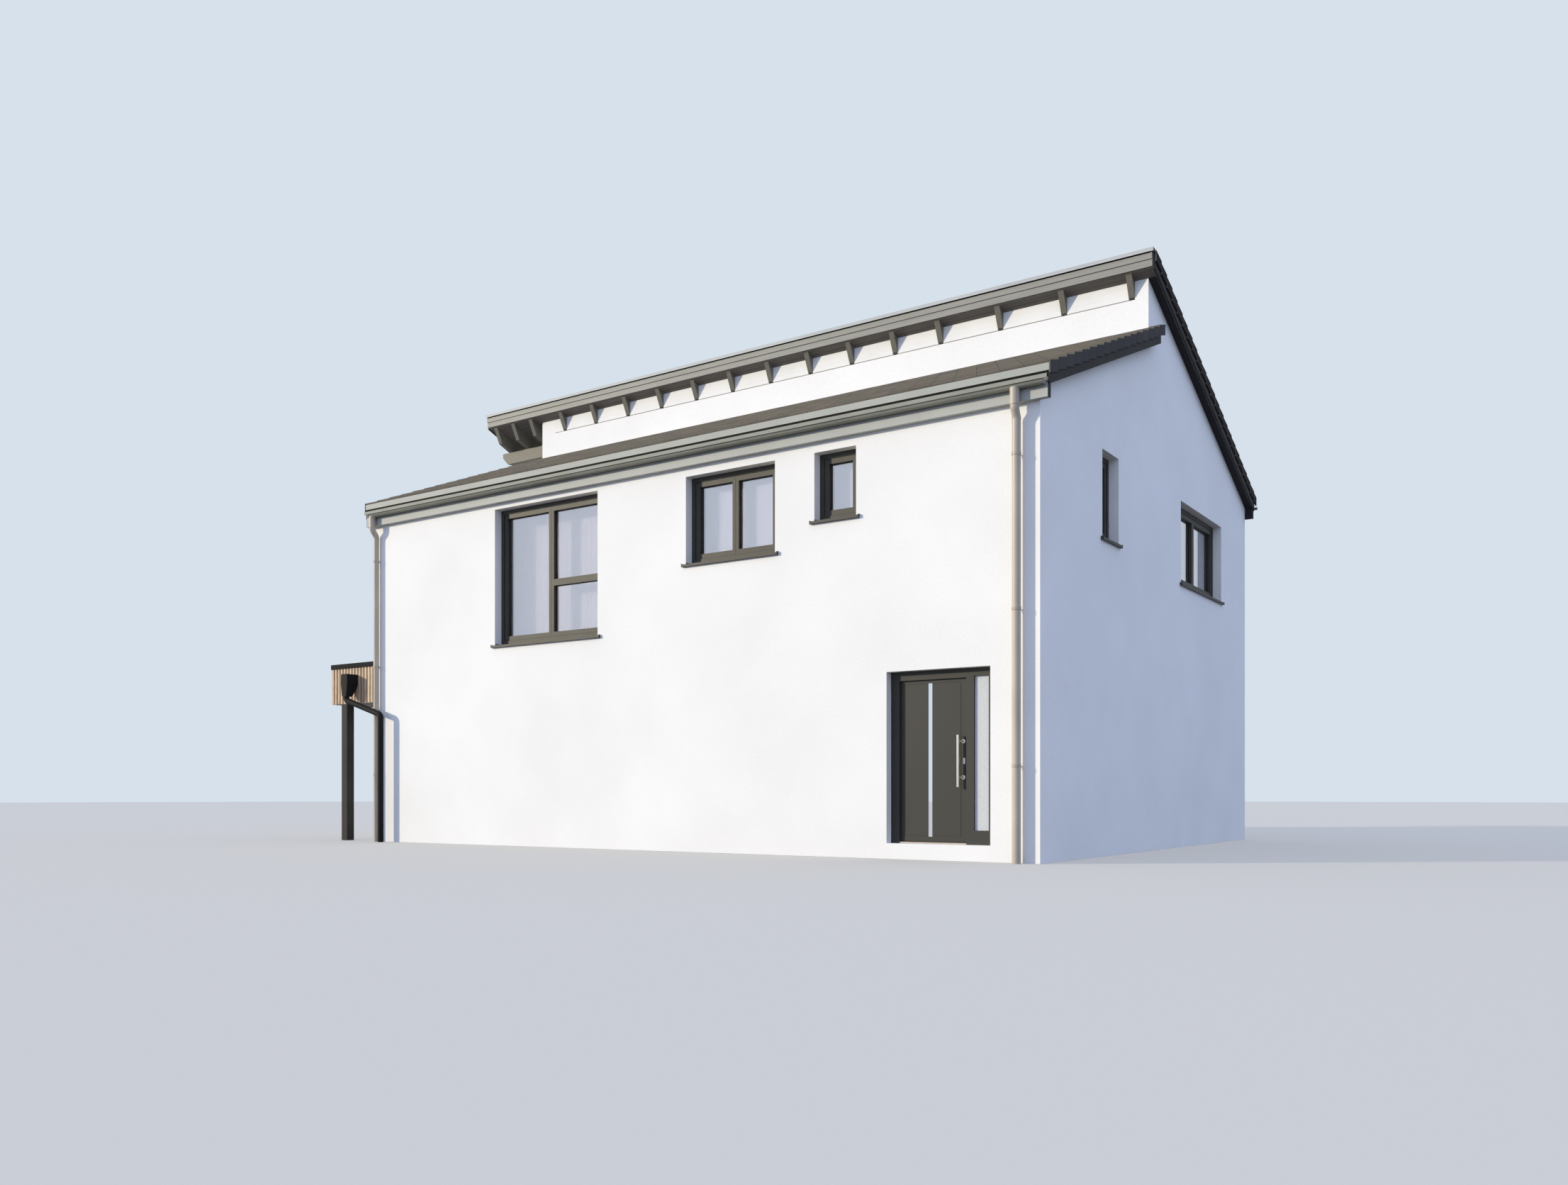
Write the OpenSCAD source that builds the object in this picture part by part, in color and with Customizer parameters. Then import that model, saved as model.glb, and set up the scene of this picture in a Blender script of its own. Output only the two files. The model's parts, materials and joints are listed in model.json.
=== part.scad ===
// Detached two-storey house with two offset mono-pitch roofs, a high wall band between them,
// a roof overhang on the left and a small slatted side canopy.
// Millimetres, +Z up. The origin is on the ground at the middle of the wall plan, the front faces -Y.

/* [House] */
// Length of the house between the outer faces of its gables
house_len = 12400; // [10400:20:15000]
// Depth of the house between its front and rear wall faces
house_dep = 9580; // [9000:20:11600]
// Thickness of the outer walls
wall_t = 365; // [330:5:450]
// Height of the ground slab above the ground
plinth_h = 200; // [150:10:250]
// Height of the upper floor's underside above the ground
floor_under_z = 2900; // [2750:10:2950]
// Thickness of the upper floor
floor_t = 250; // [180:10:300]

/* [Roofs] */
// Pitch of both roofs in degrees
roof_pitch = 22.5; // [18:0.5:27]
// Height of the front roof's tile line over the front wall face
front_line_z = 5983; // [5900:10:6600]
// Height of the rear roof's tile line over the rear wall face
rear_line_z = 6341; // [6100:10:7000]
// Distance of the high wall behind the front wall face
high_wall_d = 4040; // [3360:20:4200]
// Thickness of the high wall
high_wall_t = 270; // [200:10:320]
// Overhang of the roof boarding beyond a gable
verge_over = 130; // [80:10:250]
// Overhang of the rear roof beyond the left gable
left_over = 1385; // [1150:5:1700]
// Overhang of the roof boarding in front of a wall
eave_over = 83; // [60:1:120]
// Overhang of the rear roof in front of the high wall
ridge_over = 175; // [165:5:260]
// Thickness of the roof boarding, measured upright
deck_t = 217; // [150:1:240]

/* [Tiles] */
// Length of a tile course along the slope
tile_gauge = 280; // [240:5:340]
// Thickness of a tile's lower edge
tile_nose = 28; // [18:1:35]
// Height of the tile line above the roof boarding
tile_build = 49; // [40:1:60]
// Reach of the tiles beyond the eave boarding
tile_reach = 17; // [10:1:40]
// Height of the flap that hangs from a verge tile
flap_h = 155; // [110:5:200]
// Thickness of a verge flap
flap_t = 20; // [12:1:30]
// Thickness of the verge boards
verge_board_t = 20; // [15:1:30]
// Drop of the verge boards below the boarding
verge_board_drop = 18; // [5:1:40]

/* [Timbers] */
// Width of a rafter
rafter_w = 90; // [60:5:120]
// Depth of a rafter, measured upright
rafter_h = 240; // [160:5:260]
// Spacing of the rafters in the three bays at the right
wide_bay = 1045; // [900:5:1100]
// Spacing wished for in the other bays
even_bay_wish = 838; // [700:2:1000]
// Spacing of the rafters out under the left overhang
outer_bay = 505; // [400:5:560]
// Left edge of the first outer rafter beyond the left gable
outer_first = 243; // [150:1:300]
// Width of a purlin
purlin_w = 140; // [100:5:180]
// Depth of a purlin
purlin_h = 205; // [160:5:240]
// Reach of the purlins beyond the left gable
purlin_over = 1440; // [1300:5:1800]

/* [Eaves] */
// Height of the eave box below the roof line
eave_box_drop = 463; // [380:1:520]
// Height of the metal trim under the tiles
trim_h = 88; // [60:1:110]
// Thickness of the metal trim
trim_t = 12; // [4:1:15]
// Outer radius of the half-round gutter
gutter_r = 68; // [55:1:80]
// Thickness of the gutter's wall
gutter_t = 4; // [2:1:6]
// Height of the gutter's front lip
gutter_lip_h = 50; // [25:1:60]
// Drop of the gutter's centre below the roof line
gutter_drop = 243; // [225:1:280]

/* [Windows] */
// Depth of the window reveals
reveal = 140; // [80:5:170]
// Face width of a window frame
frame_w = 65; // [45:1:90]
// Depth of a window frame
frame_dep = 80; // [60:1:100]
// Face width of a sash
sash_w = 70; // [50:1:90]
// Face width of each of two sashes where they meet
meet_w = 53; // [40:1:80]
// Gap between a sash and its frame
sash_gap = 4; // [2:1:8]
// Depth of the glass behind the frame's front
glass_back = 60; // [30:1:65]
// Thickness of the insulating glass
glass_t = 24; // [16:1:44]
// Reach of a sill in front of the wall
sill_reach = 40; // [20:1:60]
// Reach of a sill beside its window
sill_side = 54; // [20:1:80]

/* [Front door] */
// Width of the doorway
door_w = 1450; // [1350:10:1700]
// Height of the doorway above the threshold
door_h = 2200; // [2100:10:2350]
// Distance of the doorway's right side from the right front corner
door_from_right = 645; // [500:5:900]
// Depth of the door frame behind the wall face
door_reveal = 120; // [80:5:170]
// Face width of the hinge jamb
jamb_w = 125; // [80:1:140]
// Face width of the post between leaf and side light
post_w = 105; // [70:1:130]
// Width of the side light's glass
side_light_w = 200; // [120:5:300]
// Face width of the jamb beside the side light
end_jamb_w = 75; // [50:1:100]
// Face height of the frame's head
head_h = 100; // [70:1:130]
// Thickness of the door leaf
leaf_t = 68; // [50:1:80]
// Running gap round the door leaf
leaf_gap = 5; // [5:1:8]
// Width of the glass strip in the leaf
strip_w = 64; // [40:1:120]

/* [Side canopy] */
// Reach of the canopy beyond the left gable
canopy_out = 1245; // [1000:5:1350]
// Depth of the canopy behind the front wall face
canopy_dep = 1500; // [1000:10:2500]
// Underside of the canopy above the ground
canopy_under_z = 2450; // [2200:10:2480]
// Height of the slatted fascia
slat_h = 635; // [400:5:700]
// Thickness of the canopy's roof
canopy_cap_h = 85; // [60:5:160]
// Width of a slat
slat_w = 55; // [30:1:70]
// Spacing wished for from slat to slat
slat_pitch_wish = 83; // [70:1:120]
// Side of the square posts
canopy_post = 150; // [90:5:200]

/* [Hidden] */
$fn = 48;

white = "white";
dark = [0.22, 0.23, 0.23];
dark_wood = [0.25, 0.22, 0.19];
paint_grey = [0.62, 0.6, 0.56];
grey_metal = [0.75, 0.76, 0.76];
frame_grey = [0.38, 0.38, 0.35];
steel = [0.7, 0.7, 0.7];

half_len = house_len / 2;
half_dep = house_dep / 2;
in_x = half_len - wall_t;
rise = tan(roof_pitch);
bit = 1;
// Play left where sloping parts lie on each other
fit = 0.2;

// Heights along the two slopes, d is the distance behind the front wall face
function front_line(d) = front_line_z + rise * d;
function rear_line(d) = rear_line_z + rise * (house_dep - d);
function front_under(d) = front_line(d) - tile_build - deck_t;
function soffit(d) = rear_line(d) - tile_build - deck_t;
function rafter_under(d) = soffit(d) - rafter_h;

// The high wall stops below the rafters, and short panels close the spaces between them
infill_h = rafter_h + 30;
high_top_z = soffit(high_wall_d) - infill_h;
high_top_d = high_wall_d + (infill_h - rafter_h) / rise;
high_foot_z = front_under(high_wall_d) - 300;
wall_bearing = 150;
// The outer leaf of the right gable and of the rear wall stands up to the boarding
outer_leaf_right = 200;
outer_leaf_rear = 150;

// Draws a side profile, in distance behind the front face and height, from x0 to x1
module along_x(x0, x1) {
    translate([x0, -half_dep, 0]) rotate([90, 0, 90]) linear_extrude(x1 - x0) children();
}

// Turns a drawing seen from outside onto one side: x to the right, y up, z outwards
module on_side(side) {
    turn = side == "front" ? 0 : side == "right" ? 90 : side == "rear" ? 180 : 270;
    out = (side == "front" || side == "rear") ? half_dep : half_len;
    rotate([0, 0, turn]) translate([0, -out, 0]) rotate([90, 0, 0]) children();
}

// Floors and walls
module ground_slab() {
    color("silver") translate([-in_x, wall_t - half_dep, 0])
        cube([2 * in_x, house_dep - 2 * wall_t, plinth_h]);
}

module upper_floor() {
    color("silver") translate([-in_x, wall_t - half_dep, floor_under_z])
        cube([2 * in_x, house_dep - 2 * wall_t, floor_t]);
}

door_x0 = half_len - door_from_right - door_w;
door_x1 = half_len - door_from_right;
door_top_z = plinth_h + door_h;

module front_wall_section(z0) {
    polygon([[0, z0], [wall_t, z0], [wall_t, front_under(wall_t) - fit], [0, front_under(0) - fit]]);
}

module doorway_base() {
    color(white) translate([door_x0, -half_dep, 0]) cube([door_w, wall_t, plinth_h]);
}

module front_wall_left() {
    color(white) difference() {
        along_x(-in_x, door_x0) front_wall_section(0);
        window_holes("front");
    }
}

module front_wall_right() {
    color(white) along_x(door_x1, in_x) front_wall_section(0);
}

module front_wall_over_door() {
    color(white) along_x(door_x0, door_x1) front_wall_section(door_top_z);
}

module rear_wall() {
    leaf_d = house_dep - outer_leaf_rear;
    inner_d = house_dep - wall_t;
    color(white) difference() {
        along_x(-in_x, in_x) polygon([
            [inner_d, 0], [house_dep, 0], [house_dep, soffit(house_dep) - fit],
            [leaf_d, soffit(leaf_d) - fit], [leaf_d, rafter_under(leaf_d) - fit],
            [inner_d, rafter_under(inner_d) - fit]
        ]);
        along_x(-in_x - bit, in_x + bit) purlin_section(purlin_d[2]);
        window_holes("rear");
    }
}

module gable_section() {
    polygon([
        [0, 0], [house_dep, 0], [house_dep, soffit(house_dep) - fit],
        [high_wall_d, soffit(high_wall_d) - fit], [high_wall_d, front_under(high_wall_d) - fit],
        [0, front_under(0) - fit]
    ]);
}

// The inner leaf stops under the rafter that lies on it
module gable_inner_section() {
    leaf_d = house_dep - outer_leaf_rear;
    polygon([
        [0, 0], [house_dep, 0], [house_dep, soffit(house_dep) - fit],
        [leaf_d, soffit(leaf_d) - fit], [leaf_d, rafter_under(leaf_d) - fit],
        [high_top_d, high_top_z - fit], [high_wall_d, high_top_z - fit],
        [high_wall_d, front_under(high_wall_d) - fit], [0, front_under(0) - fit]
    ]);
}

module right_gable_wall() {
    leaf_x = half_len - outer_leaf_right;
    color(white) difference() {
        union() {
            along_x(leaf_x, half_len) gable_section();
            along_x(in_x, leaf_x) gable_inner_section();
        }
        along_x(in_x - bit, leaf_x) purlin_sections();
        along_x(in_x - bit, in_x + wall_bearing) high_wall_section();
        window_holes("right");
    }
}

module left_gable_wall() {
    color(white) difference() {
        along_x(-half_len, -in_x) gable_section();
        along_x(-half_len - bit, -in_x + bit) purlin_sections();
        along_x(-in_x - wall_bearing, -in_x + bit) high_wall_section();
        window_holes("left");
    }
}

module high_wall_section() {
    back_d = high_wall_d + high_wall_t;
    polygon([
        [high_wall_d, high_foot_z], [back_d, high_foot_z], [back_d, rafter_under(back_d)],
        [high_top_d, high_top_z], [high_wall_d, high_top_z]
    ]);
}

module high_wall() {
    color(white) along_x(-in_x - wall_bearing, in_x + wall_bearing) high_wall_section();
}

// Rafters, given by their left edges as distances from the right front corner
wide_bays = 3;
first_rafter = outer_leaf_right + rafter_w;
wide_end = first_rafter + wide_bays * wide_bay;
even_run = house_len + outer_first - wide_end;
even_bays = round(even_run / even_bay_wish);
even_bay = even_run / even_bays;
inner_rafters = concat(
    [for (i = [0 : wide_bays]) first_rafter + i * wide_bay],
    [for (i = [1 : even_bays - 1]) wide_end + i * even_bay]
);
outer_rafters = [for (i = [0 : 2]) house_len + outer_first + i * outer_bay];
rafter_start_d = high_wall_d - ridge_over + 20;
rafter_tip_d = high_wall_d - 10;
rafter_tail = 90;

module rafter_section(end_d, tail) {
    polygon([
        [rafter_start_d, soffit(rafter_start_d) - fit], [rafter_tip_d, rafter_under(rafter_tip_d)],
        [end_d - tail, rafter_under(end_d - tail)], [end_d, rafter_under(end_d) + tail],
        [end_d, soffit(end_d) - fit]
    ]);
}

module rafters() {
    color(paint_grey) {
        for (l = inner_rafters)
            along_x(half_len - l, half_len - l + rafter_w)
                rafter_section(house_dep - outer_leaf_rear, 0);
        for (l = outer_rafters)
            along_x(half_len - l, half_len - l + rafter_w) rafter_section(house_dep, rafter_tail);
    }
}

// Each panel leaves a shadow joint over the high wall
joint_h = 12;
joint_dep = 40;

module rafter_infill() {
    joint_d = high_wall_d + joint_dep;
    depth_d = high_wall_d + 200;
    ends = concat(inner_rafters, [house_len - wall_t + rafter_w]);
    color(white) for (i = [0 : len(inner_rafters) - 1])
        along_x(half_len - ends[i + 1] + rafter_w, half_len - ends[i]) polygon([
            [high_wall_d, high_top_z + joint_h], [joint_d, high_top_z + joint_h],
            [joint_d, high_top_z + fit], [high_top_d, high_top_z + fit],
            [depth_d, rafter_under(depth_d) + fit],
            [depth_d, soffit(depth_d) - fit], [high_wall_d, soffit(high_wall_d) - fit]
        ]);
}

// Purlins behind the high wall, in the middle and on the rear wall
front_purlin_d = high_wall_d + high_wall_t + purlin_w / 2;
rear_purlin_d = house_dep - outer_leaf_rear - 10 - purlin_w / 2;
purlin_d = [front_purlin_d, (front_purlin_d + rear_purlin_d) / 2, rear_purlin_d];
purlin_head = 140;

module purlin_section(d) {
    near_d = d - purlin_w / 2;
    far_d = d + purlin_w / 2;
    foot_z = rafter_under(d) - purlin_h;
    polygon([
        [near_d, foot_z], [far_d, foot_z], [far_d, rafter_under(far_d)], [near_d, rafter_under(near_d)]
    ]);
}

module purlin_sections() {
    for (d = purlin_d) purlin_section(d);
}

// Each purlin ends in a head that is cut back from below
module purlins() {
    tip_x = -half_len - purlin_over;
    color(paint_grey) for (d = purlin_d) difference() {
        along_x(tip_x, half_len - outer_leaf_right) purlin_section(d);
        translate([0, d - half_dep - purlin_w, 0]) rotate([-90, 0, 0]) linear_extrude(2 * purlin_w)
            polygon([
                [tip_x - bit, -rafter_under(d) + 60], [tip_x, -rafter_under(d) + 60],
                [tip_x + purlin_head, -rafter_under(d) + purlin_h],
                [tip_x + purlin_head, -rafter_under(d) + purlin_h + bit],
                [tip_x - bit, -rafter_under(d) + purlin_h + bit]
            ]);
    }
}

// Roof boarding
verge_x = half_len + verge_over;
left_x = -half_len - left_over;
deck_start_d = high_wall_d - ridge_over;
// The front roof's side strips run on past the high wall
strip_d = high_wall_d + 110;

module slope_band(d0, d1, above) {
    polygon([
        [d0, front_under(d0)], [d1, front_under(d1)],
        [d1, front_under(d1) + above], [d0, front_under(d0) + above]
    ]);
}

module front_roof_deck() {
    color(dark_wood) {
        along_x(-verge_x, verge_x) slope_band(-eave_over, high_wall_d, deck_t);
        for (x0 = [-verge_x, half_len])
            along_x(x0, x0 + verge_over) slope_band(high_wall_d - bit, strip_d, deck_t);
    }
}

module rear_roof_deck() {
    end_d = house_dep + eave_over;
    color(dark_wood) along_x(left_x, verge_x) polygon([
        [deck_start_d, soffit(deck_start_d)], [end_d, soffit(end_d)],
        [end_d, soffit(end_d) + deck_t], [deck_start_d, soffit(deck_start_d) + deck_t]
    ]);
}

// Tile courses, drawn from the eave up the slope: u is the distance behind the lowest nose
tile_front_d = -eave_over - tile_reach;
tile_rear_d = house_dep + eave_over + tile_reach;
front_tiles_len = high_wall_d - tile_front_d;
rear_tiles_len = tile_rear_d - deck_start_d;
courses = round(front_tiles_len / (tile_gauge * cos(roof_pitch)));
course = front_tiles_len / courses;
verge_tiles_len = front_tiles_len + course;
flap_x = verge_x + verge_board_t;
nose_back = tile_nose * sin(roof_pitch);
nose_down = tile_nose * cos(roof_pitch);

// Points up the slope along the stepped upper side, dropped by lower
function step_points(u0, u1, lower) = [
    for (i = [ceil(u0 / course) : floor((u1 - bit) / course)]) each [
        if (i * course > u0) [i * course + nose_back, i * course * rise - lower - nose_down],
        [i * course, i * course * rise - lower]
    ]
];

// Height on the face of the tile that ends at u
function step_top(u, lower) =
    let (u_nose = floor((u - bit) / course) * course)
    u_nose * rise - lower + (u - u_nose) * (course * rise - nose_down) / (course + nose_back);

// A covering from u0 to u1 with a stepped top; its bed is even, and a flap's foot is stepped
module tile_section(u0, u1, depth, stepped_foot) {
    top = concat(step_points(u0, u1, 0), [[u1, step_top(u1, 0)]]);
    foot = stepped_foot
        ? concat([[u1, step_top(u1, depth)]], [for (p = [len(step_points(u0, u1, depth)) - 1 : -1 : 0])
            step_points(u0, u1, depth)[p]])
        : [[u1, u1 * rise - depth], [tile_reach, tile_reach * rise - depth],
            [tile_reach, tile_reach * rise - nose_down], [nose_back, -nose_down]];
    polygon(concat(top, foot));
}

module front_tiles(x0, x1, len_u, depth, stepped) {
    along_x(x0, x1) translate([tile_front_d, front_line(tile_front_d)])
        tile_section(0, len_u, depth, stepped);
}

module rear_tiles(x0, x1, len_u, depth, stepped) {
    along_x(x0, x1) translate([tile_rear_d, rear_line(tile_rear_d)]) mirror([1, 0])
        tile_section(0, len_u, depth, stepped);
}

module front_roof_tiles() {
    color(dark) {
        front_tiles(-half_len, half_len, front_tiles_len, tile_build - fit, false);
        for (x0 = [-flap_x, half_len])
            front_tiles(x0, x0 + flap_x - half_len, verge_tiles_len, tile_build - fit, false);
    }
}

module rear_roof_tiles() {
    color(dark) rear_tiles(left_x - verge_board_t, flap_x, rear_tiles_len, tile_build - fit, false);
}

// The flaps of the verge tiles hang in front of the verge boards
module verge_flaps() {
    color(dark) {
        for (x0 = [-flap_x - flap_t, flap_x])
            front_tiles(x0, x0 + flap_t, verge_tiles_len, flap_h, true);
        for (x0 = [left_x - verge_board_t - flap_t, flap_x])
            rear_tiles(x0, x0 + flap_t, rear_tiles_len, flap_h, true);
    }
}

// Boards on the cut sides of both roofs
module verge_boards() {
    board_h = deck_t + verge_board_drop;
    end_d = house_dep + eave_over;
    color(dark) {
        for (x0 = [-flap_x, verge_x])
            along_x(x0, x0 + verge_board_t) translate([0, -verge_board_drop])
                slope_band(-eave_over, strip_d, board_h);
        for (x0 = [left_x - verge_board_t, verge_x])
            along_x(x0, x0 + verge_board_t) translate([0, -verge_board_drop]) polygon([
                [deck_start_d, soffit(deck_start_d)], [end_d, soffit(end_d)],
                [end_d, soffit(end_d) + board_h], [deck_start_d, soffit(deck_start_d) + board_h]
            ]);
    }
}

// Two boards and a folded metal cap close the top edge of the rear roof
fascia_right_x = half_len + 115;
fascia_left_x = left_x - 15;
lower_board_t = 20;
upper_board_t = 35;
fascia_top_z = soffit(deck_start_d) + deck_t;
fascia_mid_z = fascia_top_z - 102;
fascia_foot_z = soffit(deck_start_d) + 12;
flashing_x = half_len + 145;
flashing_front_d = deck_start_d - 55;
flashing_t = 9;
flashing_h = 65;
flashing_lap = 42.5;
// The flashing laps over the topmost nose
flashing_back_d = tile_rear_d - floor((rear_tiles_len - bit) / course) * course + flashing_lap;

module ridge_fascia() {
    color(paint_grey) along_x(fascia_left_x, fascia_right_x) polygon([
        [deck_start_d, fascia_foot_z], [deck_start_d, fascia_top_z],
        [deck_start_d - upper_board_t, fascia_top_z], [deck_start_d - upper_board_t, fascia_mid_z],
        [deck_start_d - lower_board_t, fascia_mid_z], [deck_start_d - lower_board_t, fascia_foot_z]
    ]);
}

module ridge_flashing() {
    top_z = rear_line(flashing_front_d) + flashing_t;
    fold_d = flashing_front_d + 6;
    color(grey_metal) along_x(left_x - verge_board_t - flap_t, flashing_x) polygon([
        [flashing_front_d, top_z - flashing_h], [fold_d, top_z - flashing_h],
        [fold_d, rear_line(fold_d)], [flashing_back_d, rear_line(flashing_back_d)],
        [flashing_back_d, rear_line(flashing_back_d) + flashing_t], [flashing_front_d, top_z]
    ]);
}

// Eaves: s is the distance inwards from the wall face, z is counted from the roof line there
module at_front_eave(x0, x1) {
    along_x(x0, x1) translate([0, front_line_z]) children();
}

module at_rear_eave(x0, x1) {
    along_x(x0, x1) translate([house_dep, rear_line_z]) mirror([1, 0]) children();
}

module eave_box_section() {
    under_z = -tile_build - deck_t - fit;
    polygon([
        [-eave_over, -eave_box_drop], [0, -eave_box_drop], [0, under_z],
        [-eave_over, under_z - eave_over * rise]
    ]);
}

module eave_boxes() {
    color(grey_metal) {
        at_front_eave(-verge_x, verge_x) eave_box_section();
        at_rear_eave(left_x, verge_x) eave_box_section();
    }
}

// The trim ends below the lowest tile edge
trim_play = 2.7;
trim_top = (eave_over + tile_reach) * rise + nose_down + trim_play;

module eave_trims() {
    color(grey_metal) {
        at_front_eave(-flap_x, flap_x)
            translate([-eave_over - trim_t, -trim_top - trim_h]) square([trim_t, trim_h]);
        at_rear_eave(left_x - verge_board_t, flap_x)
            translate([-eave_over - trim_t, -trim_top - trim_h]) square([trim_t, trim_h]);
    }
}

gutter_s = -eave_over - gutter_r;
gutter_front_right_x = verge_x + verge_board_t + flap_t;
gutter_front_left_x = -half_len - 20;
gutter_lip_w = 20;
gutter_lip_up = 34;

module gutter_section(solid) {
    translate([gutter_s, -gutter_drop]) {
        difference() {
            circle(gutter_r);
            if (!solid) circle(gutter_r - gutter_t);
            translate([-gutter_r * 2, 0]) square([gutter_r * 4, gutter_r * 2]);
        }
        translate([gutter_r - gutter_t, -bit]) square([gutter_t, 16]);
        polygon([
            [-gutter_r, gutter_lip_up - gutter_lip_h], [-gutter_r, gutter_lip_up],
            [-gutter_r + gutter_lip_w, gutter_lip_up - 10],
            [-gutter_r + gutter_t, gutter_lip_up - gutter_lip_h]
        ]);
    }
}

module gutters() {
    color(grey_metal) {
        at_front_eave(gutter_front_left_x, gutter_front_right_x) gutter_section(false);
        for (x0 = [gutter_front_left_x, gutter_front_right_x - gutter_t])
            at_front_eave(x0, x0 + gutter_t) gutter_section(true);
        at_rear_eave(left_x - verge_board_t, gutter_front_right_x) gutter_section(false);
        for (x0 = [left_x - verge_board_t, gutter_front_right_x - gutter_t])
            at_rear_eave(x0, x0 + gutter_t) gutter_section(true);
    }
}

// A round pipe that runs down along points given as [x, z], in the plane y = 0, with socket bends
socket_t = 2;
push_in = 8;

function lean(p, q) = (atan2(q[0] - p[0], q[1] - p[1]) + 360) % 360;
function heading(turn) = [sin(turn), cos(turn)];

module pipe_run(points, r, bend_r) {
    last = len(points) - 1;
    turns = [for (i = [0 : last - 1]) lean(points[i], points[i + 1])];
    cuts = [for (i = [0 : last]) i == 0 || i == last ? 0 : bend_r * tan(abs(turns[i] - turns[i - 1]) / 2)];
    for (i = [0 : last - 1]) {
        from = i == 0 ? 0 : cuts[i] - push_in;
        to = i == last - 1 ? 0 : cuts[i + 1] - push_in;
        start = points[i] + from * heading(turns[i]);
        translate([start[0], 0, start[1]]) rotate([0, turns[i], 0])
            cylinder(r = r, h = norm(points[i + 1] - points[i]) - from - to);
    }
    for (i = [1 : last - 1]) {
        side = turns[i] > turns[i - 1] ? 1 : -1;
        centre = points[i] - cuts[i] * heading(turns[i - 1]) + bend_r * heading(turns[i - 1] + 90 * side);
        translate([centre[0], 0, centre[1]]) rotate([0, turns[i - 1], 0]) mirror([side > 0 ? 1 : 0, 0, 0])
            rotate([90, 0, 0]) rotate_extrude(angle = abs(turns[i] - turns[i - 1]))
                translate([bend_r, 0]) circle(r + socket_t);
    }
}

// Downpipes hang under the gutters: distance from the right corner, radius, distance from the wall
right_pipe = [260, 52.5, 100];
left_pipe = [house_len - 109, 48, 70];
collar_h = 271;
collar_extra = 6;
neck_h = 110;
clip_z = [1170, 3050, 4900];
clip_h = 40;
clip_t = 5;
stem_r = 7;

function pipe_top(line_z) = line_z - gutter_drop - gutter_r;

module downpipe(pipe, line_z) {
    x = half_len - pipe[0];
    top_z = pipe_top(line_z);
    neck_z = top_z - collar_h + 40;
    color("tan") {
        translate([x, -half_dep, 0]) rotate([0, 0, -90]) pipe_run([
            [-gutter_s, top_z + 4], [-gutter_s, neck_z], [pipe[2], neck_z - neck_h], [pipe[2], 0]
        ], pipe[1], 110);
        translate([x, -half_dep + gutter_s, neck_z + 30])
            cylinder(r = pipe[1] + collar_extra, h = top_z - neck_z - 30);
    }
}

module all_pipes() {
    for (pipe = [right_pipe, left_pipe]) {
        downpipe(pipe, front_line_z);
        mirror([0, 1, 0]) downpipe(pipe, rear_line_z);
    }
}

module downpipes() {
    difference() {
        all_pipes();
        at_front_eave(-house_len, house_len) translate([gutter_s, -gutter_drop]) circle(gutter_r);
        at_rear_eave(-house_len, house_len) translate([gutter_s, -gutter_drop]) circle(gutter_r);
    }
}

module pipe_clip(x, z, r, out) {
    difference() {
        union() {
            translate([x, -half_dep - out, z - clip_h / 2]) cylinder(r = r + clip_t, h = clip_h);
            translate([x, -half_dep - out, z]) rotate([-90, 0, 0]) cylinder(r = stem_r, h = out);
        }
        translate([x, -half_dep - out, z - clip_h]) cylinder(r = r, h = clip_h * 2);
    }
}

module downpipe_clips() {
    color(steel) for (z = clip_z) for (pipe = [right_pipe, left_pipe]) {
        pipe_clip(half_len - pipe[0], z, pipe[1], pipe[2]);
        mirror([0, 1, 0]) pipe_clip(half_len - pipe[0], z, pipe[1], pipe[2]);
    }
}

// Windows: side, left edge seen from outside, sill height, width, height, sashes, crossbar height
tall_w = 2250;
tall_h = 2185;
tall_sill_z = 3250;
tall_bar = 917;
pair_w = 1560;
pair_h = 1244;
pair_sill_z = 4146;
small_w = 650;
small_h = 900;
small_sill_z = 4490;
slim_w = 640;
slim_h = 1170;
slim_sill_z = 4265;
broad_w = 2340;
broad_h = 1285;
broad_sill_z = 4150;
lower_sill_z = plinth_h + 100;
tall_x = half_len - 9368;
pair_x = half_len - 5402;
small_x = half_len - 3201;
slim_d = 2113;
broad_d = 5631;
lower_x = [-4600, 1400];

windows = [
    ["front", tall_x, tall_sill_z, tall_w, tall_h, 2, tall_bar],
    ["front", pair_x, pair_sill_z, pair_w, pair_h, 2, 0],
    ["front", small_x, small_sill_z, small_w, small_h, 1, 0],
    ["right", slim_d - half_dep, slim_sill_z, slim_w, slim_h, 1, 0],
    ["right", broad_d - half_dep, broad_sill_z, broad_w, broad_h, 2, 0],
    ["left", half_dep - slim_d - slim_w, slim_sill_z, slim_w, slim_h, 1, 0],
    ["left", half_dep - broad_d - broad_w, broad_sill_z, broad_w, broad_h, 2, 0],
    ["rear", tall_x, tall_sill_z, tall_w, tall_h, 2, tall_bar],
    ["rear", pair_x, pair_sill_z, pair_w, pair_h, 2, 0],
    ["rear", small_x, small_sill_z, small_w, small_h, 1, 0],
    ["rear", lower_x[0], lower_sill_z, tall_w, tall_h, 2, tall_bar],
    ["rear", lower_x[1], lower_sill_z, tall_w, tall_h, 2, tall_bar]
];
sill_t = 30;
sill_fall = 16;
sill_nose = 34;
bar_w = 103;
sash_back = 10;
flange_w = 15;

module window_holes(side) {
    for (win = windows) if (win[0] == side) on_side(side) translate([win[1], win[2], 0]) {
        translate([0, 0, -wall_t - bit]) cube([win[3], win[4], wall_t + 2 * bit]);
        translate([0, -sill_t, -reveal]) cube([win[3], sill_t + bit, reveal + bit]);
    }
}

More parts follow.
